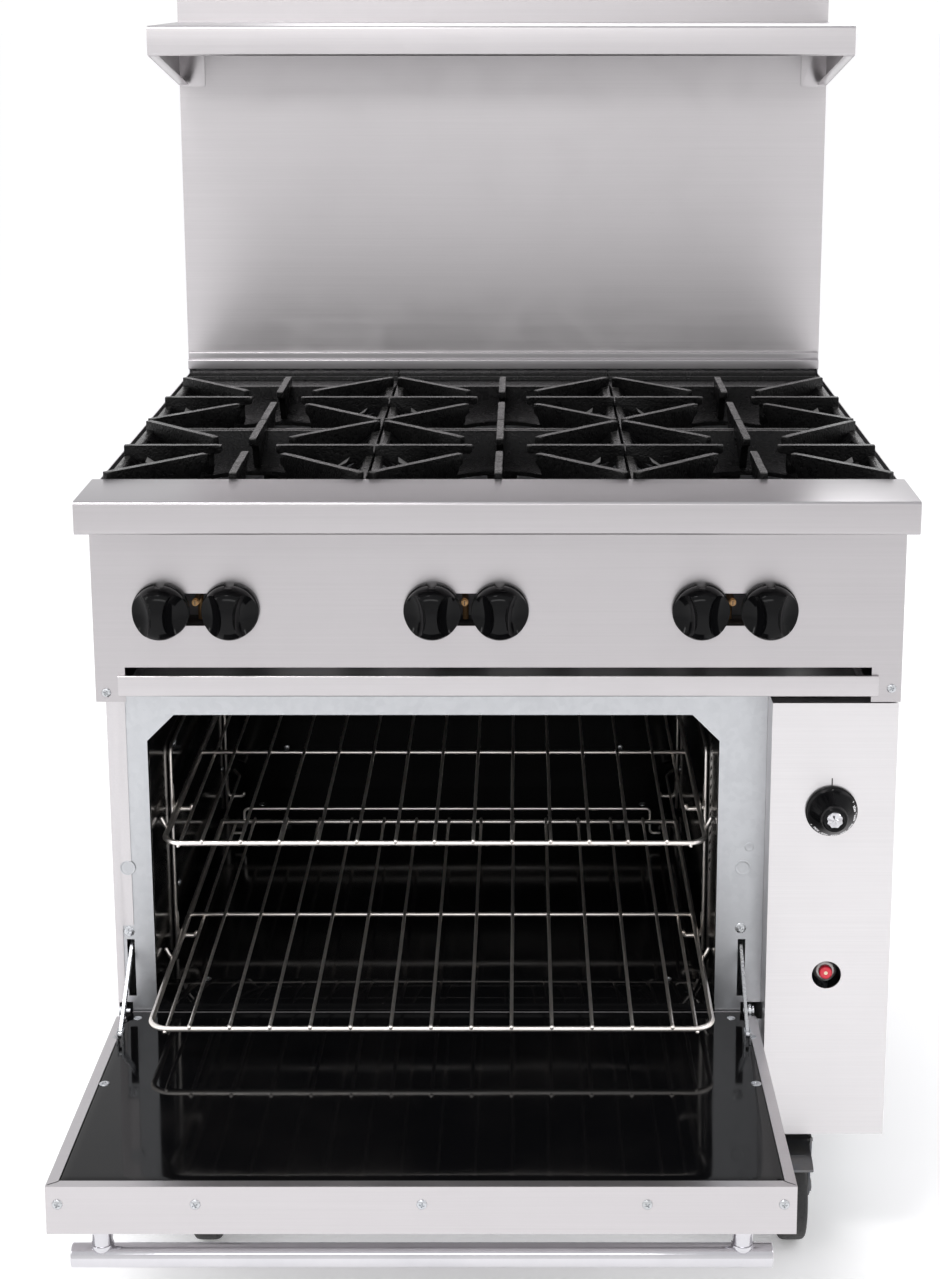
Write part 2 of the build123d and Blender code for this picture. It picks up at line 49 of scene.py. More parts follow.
def DV(x, y, z):
    """Door coordinates: y from the hinge axis, z from the inner face, door tilted to its rest angle."""
    c, s = math.cos(TILT), math.sin(TILT)
    return V(x, HY + y * c + z * s, HZ - y * s + z * c)


def new_obj(name, bm, mats, body, replaces=(), smooth=None):
    bmesh.ops.remove_doubles(bm, verts=bm.verts, dist=1e-6)
    bmesh.ops.recalc_face_normals(bm, faces=bm.faces)
    me = bpy.data.meshes.new(name)
    bm.to_mesh(me)
    bm.free()
    ob = bpy.data.objects.new(name, me)
    COL.objects.link(ob)
    for m in (mats if isinstance(mats, (list, tuple)) else [mats]):
        me.materials.append(m)
    if smooth is not None:
        set_smooth(me, smooth)
    settle(ob, body, replaces)
    return ob


def set_smooth(me, angle=35.0):
    """Smooth faces, sharp edges above the angle, as custom attributes so that nothing else is needed."""
    for p in me.polygons:
        p.use_smooth = True
    bm = bmesh.new()
    bm.from_mesh(me)
    lim = math.radians(angle)
    for e in bm.edges:
        e.smooth = not (len(e.link_faces) == 2 and e.calc_face_angle(0.0) > lim)
    bm.to_mesh(me)
    bm.free()


def settle(ob, body, replaces=()):
    if replaces:
        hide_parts(*replaces)
    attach(ob, body)


def apply_mods(ob):
    dg = bpy.context.evaluated_depsgraph_get()
    me = bpy.data.meshes.new_from_object(ob.evaluated_get(dg))
    old = ob.data
    ob.modifiers.clear()
    ob.data = me
    me.name = ob.name
    return ob


def bm_box(bm, p0, p1, f=V, bevel=0.0, seg=2, mat=0):
    (x0, y0, z0), (x1, y1, z1) = p0, p1
    vs = [bm.verts.new(f(x, y, z)) for x in (x0, x1) for y in (y0, y1) for z in (z0, z1)]
    idx = ((0, 1, 3, 2), (4, 6, 7, 5), (0, 4, 5, 1), (2, 3, 7, 6), (0, 2, 6, 4), (1, 5, 7, 3))
    fs = [bm.faces.new([vs[i] for i in q]) for q in idx]
    for q in fs:
        q.material_index = mat
    if bevel:
        bmesh.ops.bevel(bm, geom=list({e for q in fs for e in q.edges}), offset=bevel / 1000.0, segments=seg, profile=0.6, affect='EDGES', clamp_overlap=True)
    return fs


def frame_of(a, b):
    d = (b - a).normalized()
    up = Vector((0, 0, 1)) if abs(d.z) < 0.9 else Vector((1, 0, 0))
    u = d.cross(up).normalized()
    w = u.cross(d).normalized()
    return d, u, w


def bm_lathe(bm, a, b, prof, n=48, mat=0, start=0.0):
    """prof: (distance along a->b in mm, radius in mm); closed at both ends when the radius is 0."""
    d, u, w = frame_of(a, b)
    rings = []
    for t, r in prof:
        c = a + d * (t / 1000.0)
        if r < 1e-6:
            rings.append([bm.verts.new(c)])
        else:
            rings.append([bm.verts.new(c + (u * math.cos(start + 2 * math.pi * i / n) + w * math.sin(start + 2 * math.pi * i / n)) * (r / 1000.0)) for i in range(n)])
    for r0, r1 in zip(rings, rings[1:]):
        for i in range(n):
            j = (i + 1) % n
            if len(r0) == 1 and len(r1) == 1:
                continue
            if len(r0) == 1:
                q = bm.faces.new((r0[0], r1[i], r1[j]))
            elif len(r1) == 1:
                q = bm.faces.new((r0[i], r1[0], r0[j]))
            else:
                q = bm.faces.new((r0[i], r1[i], r1[j], r0[j]))
            q.material_index = mat
    return rings


def bm_cyl(bm, a, b, r, n=32, edge=0.0, mat=0):
    L = (b - a).length * 1000.0
    if edge:
        k = 3
        prof = [(0, 0)] + [(edge * (1 - math.cos(math.pi / 2 * i / k)), r - edge + edge * math.sin(math.pi / 2 * i / k)) for i in range(k + 1)]
        prof += [(L - t, q) for t, q in reversed(prof)]
    else:
        prof = [(0, 0), (0, r), (L, r), (L, 0)]
    bm_lathe(bm, a, b, prof, n, mat)


def bm_tube(bm, pts, r, n=10, mat=0, caps=True):
    """Round wire along points (metres), with parallel transport."""
    P = [Vector(p) for p in pts]
    T = []
    for i, p in enumerate(P):
        a = P[max(i - 1, 0)]
        b = P[min(i + 1, len(P) - 1)]
        T.append((b - a).normalized())
    up = Vector((0, 0, 1)) if abs(T[0].z) < 0.9 else Vector((0, 1, 0))
    u = T[0].cross(up).normalized()
    rings = []
    for i, p in enumerate(P):
        if i:
            ax = T[i - 1].cross(T[i])
            if ax.length > 1e-9:
                u = Matrix.Rotation(T[i - 1].angle(T[i]), 3, ax.normalized()) @ u
        w = T[i].cross(u).normalized()
        rr = r[i] if isinstance(r, (list, tuple)) else r
        rings.append([bm.verts.new(p + (u * math.cos(2 * math.pi * k / n) + w * math.sin(2 * math.pi * k / n)) * (rr / 1000.0)) for k in range(n)])
    for r0, r1 in zip(rings, rings[1:]):
        for i in range(n):
            j = (i + 1) % n
            q = bm.faces.new((r0[i], r1[i], r1[j], r0[j]))
            q.material_index = mat
    if caps:
        for ring, s, t in ((rings[0], -1, T[0]), (rings[-1], 1, T[-1])):
            rr = (r[0] if s < 0 else r[-1]) if isinstance(r, (list, tuple)) else r
            prev = ring
            c = sum((v.co for v in ring), Vector()) / n
            for ang in (35, 65):
                k = math.cos(math.radians(ang))
                o = math.sin(math.radians(ang)) * rr / 1000.0 * 0.8
                nxt = [bm.verts.new(c + (v.co - c) * k + t * s * o) for v in ring]
                for i in range(n):
                    j = (i + 1) % n
                    bm.faces.new((prev[i], nxt[i], nxt[j], prev[j])).material_index = mat
                prev = nxt
            bm.faces.new(prev).material_index = mat


def fillet_path(pts, r, n=6):
    """Polyline with its corners rounded to radius r; works in 2-D or 3-D tuples."""
    P = [Vector(p) for p in pts]
    out = [P[0]]
    for i in range(1, len(P) - 1):
        a, b, c = P[i - 1], P[i], P[i + 1]
        u, w = (a - b).normalized(), (c - b).normalized()
        ang = u.angle(w)
        if ang > math.pi - 1e-3:
            out.append(b)
            continue
        rr = r[i - 1] if isinstance(r, (list, tuple)) else r
        t = min(rr / math.tan(ang / 2), (a - b).length * 0.49, (c - b).length * 0.49)
        rr = t * math.tan(ang / 2)
        m = (u + w).normalized()
        cen = b + m * (rr / math.sin(ang / 2))
        s, e = b + u * t - cen, b + w * t - cen
        tot = s.angle(e)
        for k in range(n + 1):
            f = k / n
            out.append(cen + (s * math.sin((1 - f) * tot) + e * math.sin(f * tot)) / max(math.sin(tot), 1e-9))
    out.append(P[-1])
    return out


def bent_sheet(bm, yz, t, r, x0, x1, f=V, mat=0, nx=1):
    """Sheet of thickness t whose middle line is yz (mm), corners rounded to radius r, between x0 and x1."""
    pts = fillet_path([(p[0], p[1], 0.0) for p in yz], r, 6)
    A, B = [], []
    for i, p in enumerate(pts):
        a = pts[max(i - 1, 0)]
        b = pts[min(i + 1, len(pts) - 1)]
        d = (b - a).normalized()
        nrm = Vector((-d.y, d.x, 0)) * (t / 2)
        A.append(p + nrm)
        B.append(p - nrm)
    loop = A + B[::-1]
    xs = [x0 + (x1 - x0) * i / nx for i in range(nx + 1)]
    rows = [[bm.verts.new(f(x, q.x, q.y)) for q in loop] for x in xs]
    m = len(loop)
    for r0, r1 in zip(rows, rows[1:]):
        for i in range(m):
            j = (i + 1) % m
            bm.faces.new((r0[i], r1[i], r1[j], r0[j])).material_index = mat
    k = len(A)
    for row in (rows[0], rows[-1]):
        for i in range(k - 1):
            bm.faces.new((row[i], row[i + 1], row[m - 2 - i], row[m - 1 - i])).material_index = mat


def prism(bm, poly, w0, w1, f, bevel=0.0, seg=2, mat=0):
    """poly: list of 2-D points; f(p, w) gives metres; extruded from w0 to w1."""
    a = [bm.verts.new(f(p, w0)) for p in poly]
    b = [bm.verts.new(f(p, w1)) for p in poly]
    fs = [bm.faces.new(a), bm.faces.new(b)]
    n = len(poly)
    for i in range(n):
        j = (i + 1) % n
        fs.append(bm.faces.new((a[i], a[j], b[j], b[i])))
    for q in fs:
        q.material_index = mat
    if bevel:
        bmesh.ops.bevel(bm, geom=list({e for q in fs[:2] for e in q.edges}), offset=bevel / 1000.0, segments=seg, profile=0.6, affect='EDGES', clamp_overlap=True)


# ------------------------------------------------------------------ materials
class M:
    """A small builder for one procedural material."""

    def __init__(self, name, base, metallic=0.0, rough=0.4, **sock):
        self.m = bpy.data.materials.new(name)
        self.m.use_nodes = True
        self.nt = self.m.node_tree
        self.N = self.nt.nodes
        self.b = self.N["Principled BSDF"]
        self.b.inputs["Base Color"].default_value = (*base, 1)
        self.b.inputs["Metallic"].default_value = metallic
        self.b.inputs["Roughness"].default_value = rough
        for k, v in sock.items():
            self.b.inputs[k.replace("_", " ")].default_value = v
        self.base = base
        self.m.diffuse_color = (*base, 1)
        self.tc = self.N.new("ShaderNodeTexCoord")
        self.normal = None

    def link(self, a, b):
        self.nt.links.new(a, b)

    def coord(self, scale=(1, 1, 1), rot=(0, 0, 0)):
        mp = self.N.new("ShaderNodeMapping")
        mp.inputs["Scale"].default_value = scale
        mp.inputs["Rotation"].default_value = rot
        self.link(self.tc.outputs["Object"], mp.inputs["Vector"])
        return mp.outputs["Vector"]

    def noise(self, scale, detail=4.0, rough=0.55, vec=None, distortion=0.0):
        n = self.N.new("ShaderNodeTexNoise")
        n.inputs["Scale"].default_value = scale
        n.inputs["Detail"].default_value = detail
        n.inputs["Roughness"].default_value = rough
        n.inputs["Distortion"].default_value = distortion
        self.link(vec or self.tc.outputs["Object"], n.inputs["Vector"])
        return n.outputs["Fac"]

    def voronoi(self, scale, feature="F1", vec=None, out="Distance"):
        n = self.N.new("ShaderNodeTexVoronoi")
        n.feature = feature
        n.inputs["Scale"].default_value = scale
        self.link(vec or self.tc.outputs["Object"], n.inputs["Vector"])
        return n.outputs[out]

    def ramp(self, fac, lo, hi, a=0.0, b=1.0):
        n = self.N.new("ShaderNodeMapRange")
        n.inputs["From Min"].default_value = lo
        n.inputs["From Max"].default_value = hi
        n.inputs["To Min"].default_value = a
        n.inputs["To Max"].default_value = b
        self.link(fac, n.inputs["Value"])
        return n.outputs["Result"]

    def mix(self, fac, c0, c1):
        n = self.N.new("ShaderNodeMix")
        n.data_type = "RGBA"
        for i, c in ((6, c0), (7, c1)):
            if isinstance(c, (tuple, list)):
                n.inputs[i].default_value = (*c, 1)
            else:
                self.link(c, n.inputs[i])
        self.link(fac, n.inputs[0])
        return n.outputs[2]

    def math(self, op, a, b):
        n = self.N.new("ShaderNodeMath")
        n.operation = op
        for i, v in enumerate((a, b)):
            if isinstance(v, (int, float)):
                n.inputs[i].default_value = v
            else:
                self.link(v, n.inputs[i])
        return n.outputs[0]

    def color(self, out):
        self.link(out, self.b.inputs["Base Color"])

    def rough(self, out):
        self.link(out, self.b.inputs["Roughness"])

    def bump(self, out, strength, dist_mm):
        n = self.N.new("ShaderNodeBump")
        n.inputs["Strength"].default_value = strength
        n.inputs["Distance"].default_value = dist_mm / 1000.0
        self.link(out, n.inputs["Height"])
        if self.normal is not None:
            self.link(self.normal, n.inputs["Normal"])
        self.normal = n.outputs["Normal"]
        self.link(self.normal, self.b.inputs["Normal"])


def brushed(name, base, axis, rough=(0.27, 0.40), grain=0.5, aniso=0.55, wave=0.012):
    m = M(name, base, 1.0, 0.33, Anisotropic=aniso)
    s = {"x": (4, 620, 620), "y": (620, 4, 620), "z": (620, 620, 4)}[axis]
    g = m.noise(1.0, 6.0, 0.7, m.coord(s))
    s2 = {"x": (1.5, 430, 430), "y": (430, 1.5, 430), "z": (430, 430, 1.5)}[axis]
    g2 = m.noise(1.0, 4.0, 0.6, m.coord(s2))
    cloud = m.noise(3.2, 3.0, 0.5)
    smudge = m.noise(14.0, 5.0, 0.62, distortion=0.6)
    streak = m.math("ADD", m.math("MULTIPLY", g, 0.65), m.math("MULTIPLY", g2, 0.35))
    dark = tuple(c * 0.955 for c in base)
    light = tuple(min(1.0, c * 1.03) for c in base)
    c1 = m.mix(m.ramp(streak, 0.35, 0.66), dark, light)
    c2 = m.mix(m.ramp(cloud, 0.35, 0.7, 0.0, 0.30), c1, tuple(c * 0.95 for c in base))
    m.color(c2)
    r = m.math("ADD", m.ramp(streak, 0.3, 0.7, rough[0], rough[1] - 0.05), m.ramp(smudge, 0.45, 0.75, 0.0, 0.05 if wave > 0.005 else 0.012))
    m.rough(r)
    m.bump(streak, 0.05 * grain, 0.05)
    m.bump(cloud, wave, 1.0)
    tan = m.N.new("ShaderNodeTangent")
    tan.direction_type = "RADIAL"
    tan.axis = {"x": "X", "y": "Y", "z": "Z"}[axis]
    m.link(tan.outputs["Tangent"], m.b.inputs["Tangent"])
    return m.m


STEEL_X = brushed("brushed_stainless_x", (0.565, 0.543, 0.553), "x")
# lighter copy of the stainless for the service panel: painted light
STEEL_SERVICE_PAINTED_LIGHT = brushed("brushed_stainless_service_painted_light", (0.675, 0.657, 0.664), "x")
# darker copy of the stainless for the control panel and the ledge's front and underside: painted shade
STEEL_PANEL_PAINTED_SHADE = brushed("brushed_stainless_panel_painted_shade", (0.490, 0.470, 0.479), "x")
STEEL_Y = brushed("brushed_stainless_y", (0.60, 0.58, 0.59), "y")
# darker copy of the stainless for the upward faces and the riser foot trim: painted shade
STEEL_TOP_PAINTED_SHADE = brushed("brushed_stainless_top_painted_shade", (0.450, 0.434, 0.446), "x", (0.29, 0.35), 0.10, 0.55, 0.001)


def galvanised():
    m = M("galvanised_sheet", (0.62, 0.645, 0.68), 1.0, 0.42)
    sp = m.voronoi(150.0, "F1", None, "Color")
    sep = m.N.new("ShaderNodeSeparateColor")
    m.link(sp, sep.inputs[0])
    cell = sep.outputs[0]
    fine = m.noise(520.0, 4.0, 0.65)
    c = m.mix(m.ramp(cell, 0.0, 1.0, 0.0, 0.4), (0.56, 0.570, 0.588), (0.51, 0.521, 0.540))
    c = m.mix(m.ramp(fine, 0.4, 0.7, 0.0, 0.12), c, (0.50, 0.52, 0.56))
    m.color(c)
    m.rough(m.math("ADD", m.ramp(cell, 0, 1, 0.36, 0.42), m.ramp(fine, 0.3, 0.7, 0.0, 0.05)))
    m.bump(fine, 0.16, 0.16)
    m.bump(m.noise(6.0, 2.0, 0.5), 0.015, 1.0)
    return m.m


GALV = galvanised()


def enamel(name="black_enamel", rough=0.045, wave=0.03):
    m = M(name, (0.004, 0.004, 0.0045), 0.0, rough, Specular_IOR_Level=0.19)
    peel = m.noise(420.0, 2.0, 0.5)
    spot = m.voronoi(170.0)
    cloud = m.noise(9.0, 4.0, 0.6)
    c = m.mix(m.ramp(cloud, 0.4, 0.75, 0.0, 0.6), (0.0028, 0.0028, 0.0032), (0.0065, 0.006, 0.006))
    c = m.mix(m.ramp(spot, 0.0, 0.05, 0.6, 0.0), c, (0.03, 0.029, 0.03))
    m.color(c)
    m.rough(m.ramp(cloud, 0.3, 0.75, rough, rough + 0.05))
    m.bump(peel, 0.02, 0.12)
    m.bump(m.noise(11.0, 2.0, 0.5), wave, 0.3)
    return m.m


ENAMEL = enamel()
ENAMEL_DULL = enamel("black_enamel_cavity", 0.10, 0.05)


def iron(name, a, b, rough=(0.34, 0.58), pebble=1.0, spec=0.30):
    m = M(name, a, 0.0, 0.55, Specular_IOR_Level=spec)
    big = m.noise(26.0, 5.0, 0.6)
    mid = m.noise(240.0, 4.0, 0.6)
    fine = m.noise(900.0, 3.0, 0.6)
    vor = m.voronoi(520.0, "SMOOTH_F1")
    c = m.mix(m.ramp(mid, 0.35, 0.72), a, b)
    c = m.mix(m.ramp(big, 0.5, 0.8, 0.0, 0.5), c, tuple(x * 1.5 for x in b))
    m.color(c)
    grease = m.ramp(m.noise(60.0, 4.0, 0.65), 0.50, 0.66, 0.0, 1.0)
    r = m.N.new("ShaderNodeMix")
    r.data_type = "FLOAT"
    m.link(grease, r.inputs[0])
    m.link(m.ramp(mid, 0.3, 0.7, rough[0], rough[1]), r.inputs[2])
    m.link(m.ramp(fine, 0.3, 0.7, rough[0] * 0.55, rough[0] * 0.9), r.inputs[3])
    m.rough(r.outputs[0])
    m.bump(vor, 0.35 * pebble, 0.7)
    m.bump(mid, 0.35 * pebble, 0.9)
    m.bump(fine, 0.15 * pebble, 0.25)
    return m.m


IRON = iron("cast_iron_black", (0.0018, 0.0018, 0.0020), (0.0046, 0.0044, 0.0044), (0.22, 0.46), 2.4, 0.12)
# lighter, glossier iron for the blade tops and the rim's upper flats: worn metal, and a painted highlight where the
# tops catch the light
IRON_WORN_EDGE_AND_HIGHLIGHT = iron("cast_iron_worn_edge_and_painted_highlight", (0.006, 0.006, 0.006), (0.042, 0.041, 0.039), (0.20, 0.40), 1.8, 0.36)
# light grey copy of the cast iron for the fillets' top faces: a painted highlight
IRON_WEB_PAINTED_LIGHT = iron("cast_iron_web_painted_highlight", (0.14, 0.138, 0.138), (0.22, 0.215, 0.21), (0.34, 0.5), 0.4, 0.5)
IRON_BURNER = iron("cast_iron_burner", (0.018, 0.0175, 0.017), (0.050, 0.048, 0.045), (0.40, 0.6), 0.8)
IRON_GREY = iron("cast_iron_grey", (0.05, 0.049, 0.047), (0.11, 0.107, 0.10), (0.45, 0.65), 0.8)


def metal(name, base, rough, var=0.08, bump=0.04, scale=120.0, tint=None):
    m = M(name, base, 1.0, rough)
    n = m.noise(scale, 4.0, 0.6)
    c = m.noise(18.0, 4.0, 0.6)
    m.color(m.mix(m.ramp(c, 0.4, 0.75, 0.0, 0.8), base, tint or tuple(x * 0.86 for x in base)))
    m.rough(m.ramp(n, 0.3, 0.7, rough, rough + var))
    m.bump(n, bump, 0.15)
    return m.m


CHROME_WIRE = metal("chrome_wire", (0.98, 0.94, 0.90), 0.30, 0.14, 0.08, 300.0, (0.86, 0.79, 0.72))
CHROME = metal("chrome_tube", (0.62, 0.61, 0.635), 0.09, 0.06, 0.02, 220.0, (0.56, 0.555, 0.58))
ZINC = metal("zinc_plate", (0.56, 0.575, 0.60), 0.22, 0.14, 0.08, 260.0, (0.44, 0.45, 0.44))
BRASS = metal("brass", (0.46, 0.27, 0.13), 0.30, 0.14, 0.08, 200.0, (0.36, 0.23, 0.10))
# black pipe, also used for the dark plates of painted shade behind the panel openings
PIPE_AND_SHADE_PLATES = metal("black_pipe_and_painted_shade", (0.07, 0.07, 0.072), 0.45, 0.2, 0.15, 300.0, (0.12, 0.09, 0.07))
DIECAST = metal("die_cast", (0.42, 0.42, 0.43), 0.42, 0.15, 0.15, 300.0)
COLLAR = metal("grey_thread", (0.40, 0.38, 0.375), 0.34, 0.14, 0.05, 200.0)
CASTER = metal("caster_black_zinc", (0.16, 0.155, 0.15), 0.32, 0.16, 0.10, 180.0, (0.10, 0.12, 0.16))


def plastic(name, base, rough=0.12, coat=0.0, wear_and_sheen=None, spec=0.5):
    m = M(name, base, 0.0, rough, Coat_Weight=coat, Coat_Roughness=0.06, Specular_IOR_Level=spec)
    n = m.noise(500.0, 2.0, 0.5)
    c = m.noise(30.0, 4.0, 0.6)
    m.color(m.mix(m.ramp(c, 0.45, 0.8, 0.0, 0.7), base, wear_and_sheen or tuple(x * 1.8 + 0.003 for x in base)))
    m.rough(m.ramp(c, 0.35, 0.75, rough, rough + 0.10))
    m.bump(n, 0.03, 0.12)
    return m.m


BLACK_GLOSS = plastic("gloss_black_phenolic", (0.0030, 0.0030, 0.0034), 0.06, 0.0, (0.0036, 0.0036, 0.0038), 0.13)
# grey copy of the black knob plastic for the knobs' bevelled rims: a painted highlight
KNOB_RIM_PAINTED_HIGHLIGHT = plastic("knob_rim_painted_highlight", (0.115, 0.113, 0.117), 0.16, 0.0, (0.16, 0.157, 0.16), 0.5)
RED = plastic("red_button_plastic", (0.62, 0.012, 0.035), 0.25, 0.3, (0.70, 0.03, 0.06))
# cream colour for the dot in the reset button's centre: a painted highlight, a lamp's reflection
BUTTON_DOT_PAINTED_HIGHLIGHT = plastic("cream_dot_painted_highlight", (0.78, 0.66, 0.48), 0.4, 0.1, (0.7, 0.55, 0.4))
PRINT = plastic("white_print", (0.90, 0.90, 0.91), 0.45, 0.0, (0.84, 0.84, 0.85))
# black for printed marks, and for painted shade in the door's corner gaps, the pilot screws' slots and the burner ports
INK_AND_PAINTED_SHADE = plastic("black_ink_and_painted_shade", (0.02, 0.02, 0.02), 0.5, 0.0)


def rubber():
    m = M("black_tread", (0.016, 0.016, 0.017), 0.0, 0.6)
    n = m.noise(320.0, 4.0, 0.6)
    d = m.noise(22.0, 5.0, 0.65)
    m.color(m.mix(m.ramp(d, 0.45, 0.75, 0.0, 0.8), (0.014, 0.014, 0.015), (0.055, 0.052, 0.048)))
    m.rough(m.ramp(n, 0.3, 0.7, 0.5, 0.75))
    m.bump(n, 0.25, 0.3)
    return m.m


RUBBER = rubber()


def wool():
    m = M("glass_wool", (0.62, 0.52, 0.25), 0.0, 0.95)
    n = m.noise(90.0, 8.0, 0.75, distortion=1.5)
    m.color(m.mix(m.ramp(n, 0.35, 0.7), (0.20, 0.185, 0.16), (0.34, 0.32, 0.28)))
    m.bump(n, 0.8, 3.0)
    return m.m


WOOL = wool()

# ------------------------------------------------------------------ CAD nodes that keep their shape
KEEP = {
    "left_side_panel": STEEL_Y, "right_side_panel": STEEL_Y, "control_panel": STEEL_PANEL_PAINTED_SHADE, "service_panel": STEEL_SERVICE_PAINTED_LIGHT,
    "door_outer_skin": STEEL_X, "riser_rear": GALV, "rear_panel": GALV, "oven_front_frame": GALV,
    "base_pan": GALV, "partition_panel": GALV, "base_frame": GALV, "oven_liner": ENAMEL_DULL, "oven_floor": ENAMEL_DULL,
    "door_insulation": WOOL, "oven_insulation": WOOL, "gas_manifold": PIPE_AND_SHADE_PLATES, "burner_valves": BRASS,
    "burner_tubes": IRON_GREY, "hinge_brackets": ZINC, "door_fittings": ZINC,
    "stay_arm_left": ZINC, "stay_arm_right": ZINC,
}
BEVEL = {"left_side_panel": 0.4, "right_side_panel": 0.4, "control_panel": 0.45, "service_panel": 0.45, "door_outer_skin": 0.5,
         "oven_front_frame": 0.4, "rear_panel": 0.4, "riser_rear": 0.4, "stay_arm_left": 0.7, "stay_arm_right": 0.7,
         "hinge_brackets": 0.4, "door_fittings": 0.35, "base_frame": 0.8, "burner_tubes": 1.2, "burner_valves": 0.8, "gas_manifold": 0.8}


def dress(node, mat):
    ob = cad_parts[node]
    if not ob.material_slots:
        ob.data.materials.append(mat)
    for s in ob.material_slots:
        s.material = mat
    if node in BEVEL:
        bv = ob.modifiers.new("edge", "BEVEL")
        bv.width = BEVEL[node] / 1000.0
        bv.segments = 2
        bv.limit_method = "ANGLE"
        bv.angle_limit = math.radians(40)
        bv.harden_normals = False
    return ob


for node, mat in KEEP.items():
    dress(node, mat)

# ------------------------------------------------------------------ fasteners
def bm_truss_screw(bm, p, nrm, r=5.5, h=2.4, turn=0.3, mat=0, mat_dark=0):
    """Domed head with a cross recess: the dome is a polar grid whose height drops inside the cross."""
    nrm = nrm.normalized()
    up = Vector((0, 0, 1)) if abs(nrm.z) < 0.9 else Vector((0, 1, 0))
    u = nrm.cross(up).normalized()
    w = nrm.cross(u).normalized()
    nr, na = 11, 40
    cw, cl = r * 0.13, r * 0.50

    def height(x, y, rr):
        z = h * math.sqrt(max(0.0, 1 - (rr / r) ** 2)) ** 0.9
        xr = x * math.cos(turn) - y * math.sin(turn)
        yr = x * math.sin(turn) + y * math.cos(turn)
        d = min(max(abs(xr) - cw, abs(yr) - cl), max(abs(yr) - cw, abs(xr) - cl))
        if d < 0:
            z -= h * 0.55 * min(1.0, -d / (r * 0.05))
        return max(z, 0.02)

    grid = []
    for i in range(nr + 1):
        rr = r * (i / nr) ** 0.8
        if i == 0:
            grid.append([bm.verts.new(p + nrm * (height(0, 0, 0) / 1000.0))])
            continue
        ring = []
        for k in range(na):
            a = 2 * math.pi * k / na
            x, y = rr * math.cos(a), rr * math.sin(a)
            ring.append(bm.verts.new(p + (u * x + w * y + nrm * height(x, y, rr)) / 1000.0))
        grid.append(ring)
    base = [bm.verts.new(p + (u * r * math.cos(2 * math.pi * k / na) + w * r * math.sin(2 * math.pi * k / na)) / 1000.0 - nrm * 0.0001) for k in range(na)]
    for k in range(na):
        j = (k + 1) % na
        bm.faces.new((grid[0][0], grid[1][k], grid[1][j])).material_index = mat
        for i in range(1, nr):
            bm.faces.new((grid[i][k], grid[i + 1][k], grid[i + 1][j], grid[i][j])).material_index = mat
        bm.faces.new((grid[nr][k], base[k], base[j], grid[nr][j])).material_index = mat
    bm.faces.new(base).material_index = mat


bm = bmesh.new()
fwd = Vector((0, -1, 0))
bm_truss_screw(bm, V(-445, 0, 708), fwd, 5.5, 2.4, 0.5)
bm_truss_screw(bm, V(446, 0, 713), fwd, 5.5, 2.4, 1.1)
bm_truss_screw(bm, V(-441, 55, 391), fwd, 6.5, 1.5, 0.2)
bm_truss_screw(bm, V(287, 55, 395), fwd, 6.5, 1.5, 0.9)
new_obj("frame_screws", bm, ZINC, "range_body", ["body_screws"], 40)
bm = bmesh.new()
bm_lathe(bm, V(295, 55, 498), V(295, 53, 498), [(0, 0), (0, 5.6), (0.5, 5.4), (0.8, 4.4), (0.5, 3.0), (0.45, 0)], 28)
bm_lathe(bm, V(288, 55, 472), V(288, 53, 472), [(0.0, 0), (0.0, 9.4), (0.35, 9.2), (0.45, 8.4), (0.0, 6.8), (-0.9, 4.0), (-1.1, 0)], 32)
bm_lathe(bm, V(-439.5, 53.8, 472), V(-439.5, 50, 472), [(0.0, 0), (0.0, 9.2), (0.3, 9.0), (0.4, 8.3), (-0.2, 6.8), (-1.5, 4.0), (-1.8, 0)], 32)
new_obj("frame_hole_plugs", bm, GALV, "range_body", (), 40)

bm = bmesh.new()
c, s = math.cos(TILT), math.sin(TILT)
dfwd = (DV(0, -10, 0) - DV(0, 0, 0)).normalized()
dup = (DV(0, 0, 10) - DV(0, 0, 0)).normalized()
for i, sx in enumerate((-445, -305, -75, 154, 293)):
    bm_truss_screw(bm, DV(sx, -405, -19.5), dfwd, 5.5, 2.4, 0.4 + i * 0.7)
for i, sx in enumerate((-439, 288)):
    bm_truss_screw(bm, DV(sx, -183, -0.4), dup, 6.0, 1.0, 0.8 + i)
for i, sx in enumerate((-431, 276)):
    bm_truss_screw(bm, DV(sx, -18, -0.4), dup, 5.0, 0.9, 0.3 + i)
for i, sx in enumerate((-447.0, 296.0)):
    bm_truss_screw(bm, DV(-446.5 if i == 0 else 295.5, -68, -0.4), dup, 5.6, 1.0, 0.2 + i)
new_obj("door_screw_heads", bm, ZINC, "oven_door", ["door_screws"], 40)

# ------------------------------------------------------------------ landing ledge, trims, shelf
bm = bmesh.new()
bent_sheet(bm, [(1.2, 913.7), (-78.4, 913.7), (-78.4, 949.4), (32.4, 949.4), (32.4, 928.5)], 1.2, 3.2, -456.9, 456.9, nx=24)
for sx in (-1, 1):
    x0, x1 = sorted((sx * 456.9, sx * 455.5))
    poly = [(-76.6, 915.2), (31.0, 915.2), (31.0, 948.0), (-76.6, 948.0)]
    prism(bm, poly, x0, x1, lambda p, w: V(w, p[0], p[1]), 0.3)
ledge = new_obj("landing_ledge_sheet", bm, [STEEL_TOP_PAINTED_SHADE, STEEL_PANEL_PAINTED_SHADE], "range_body", ["landing_ledge"], 30)
# the ledge's top faces take the darker copy, its front and underside the panel copy: painted shade
for p in ledge.data.polygons:
    if p.normal.z < 0.6:
        p.material_index = 1

bm = bmesh.new()
bent_sheet(bm, [(745.9, 1477.6), (745.9, 949.5)], 1.2, 2.0, -456.9, 456.9, nx=20)
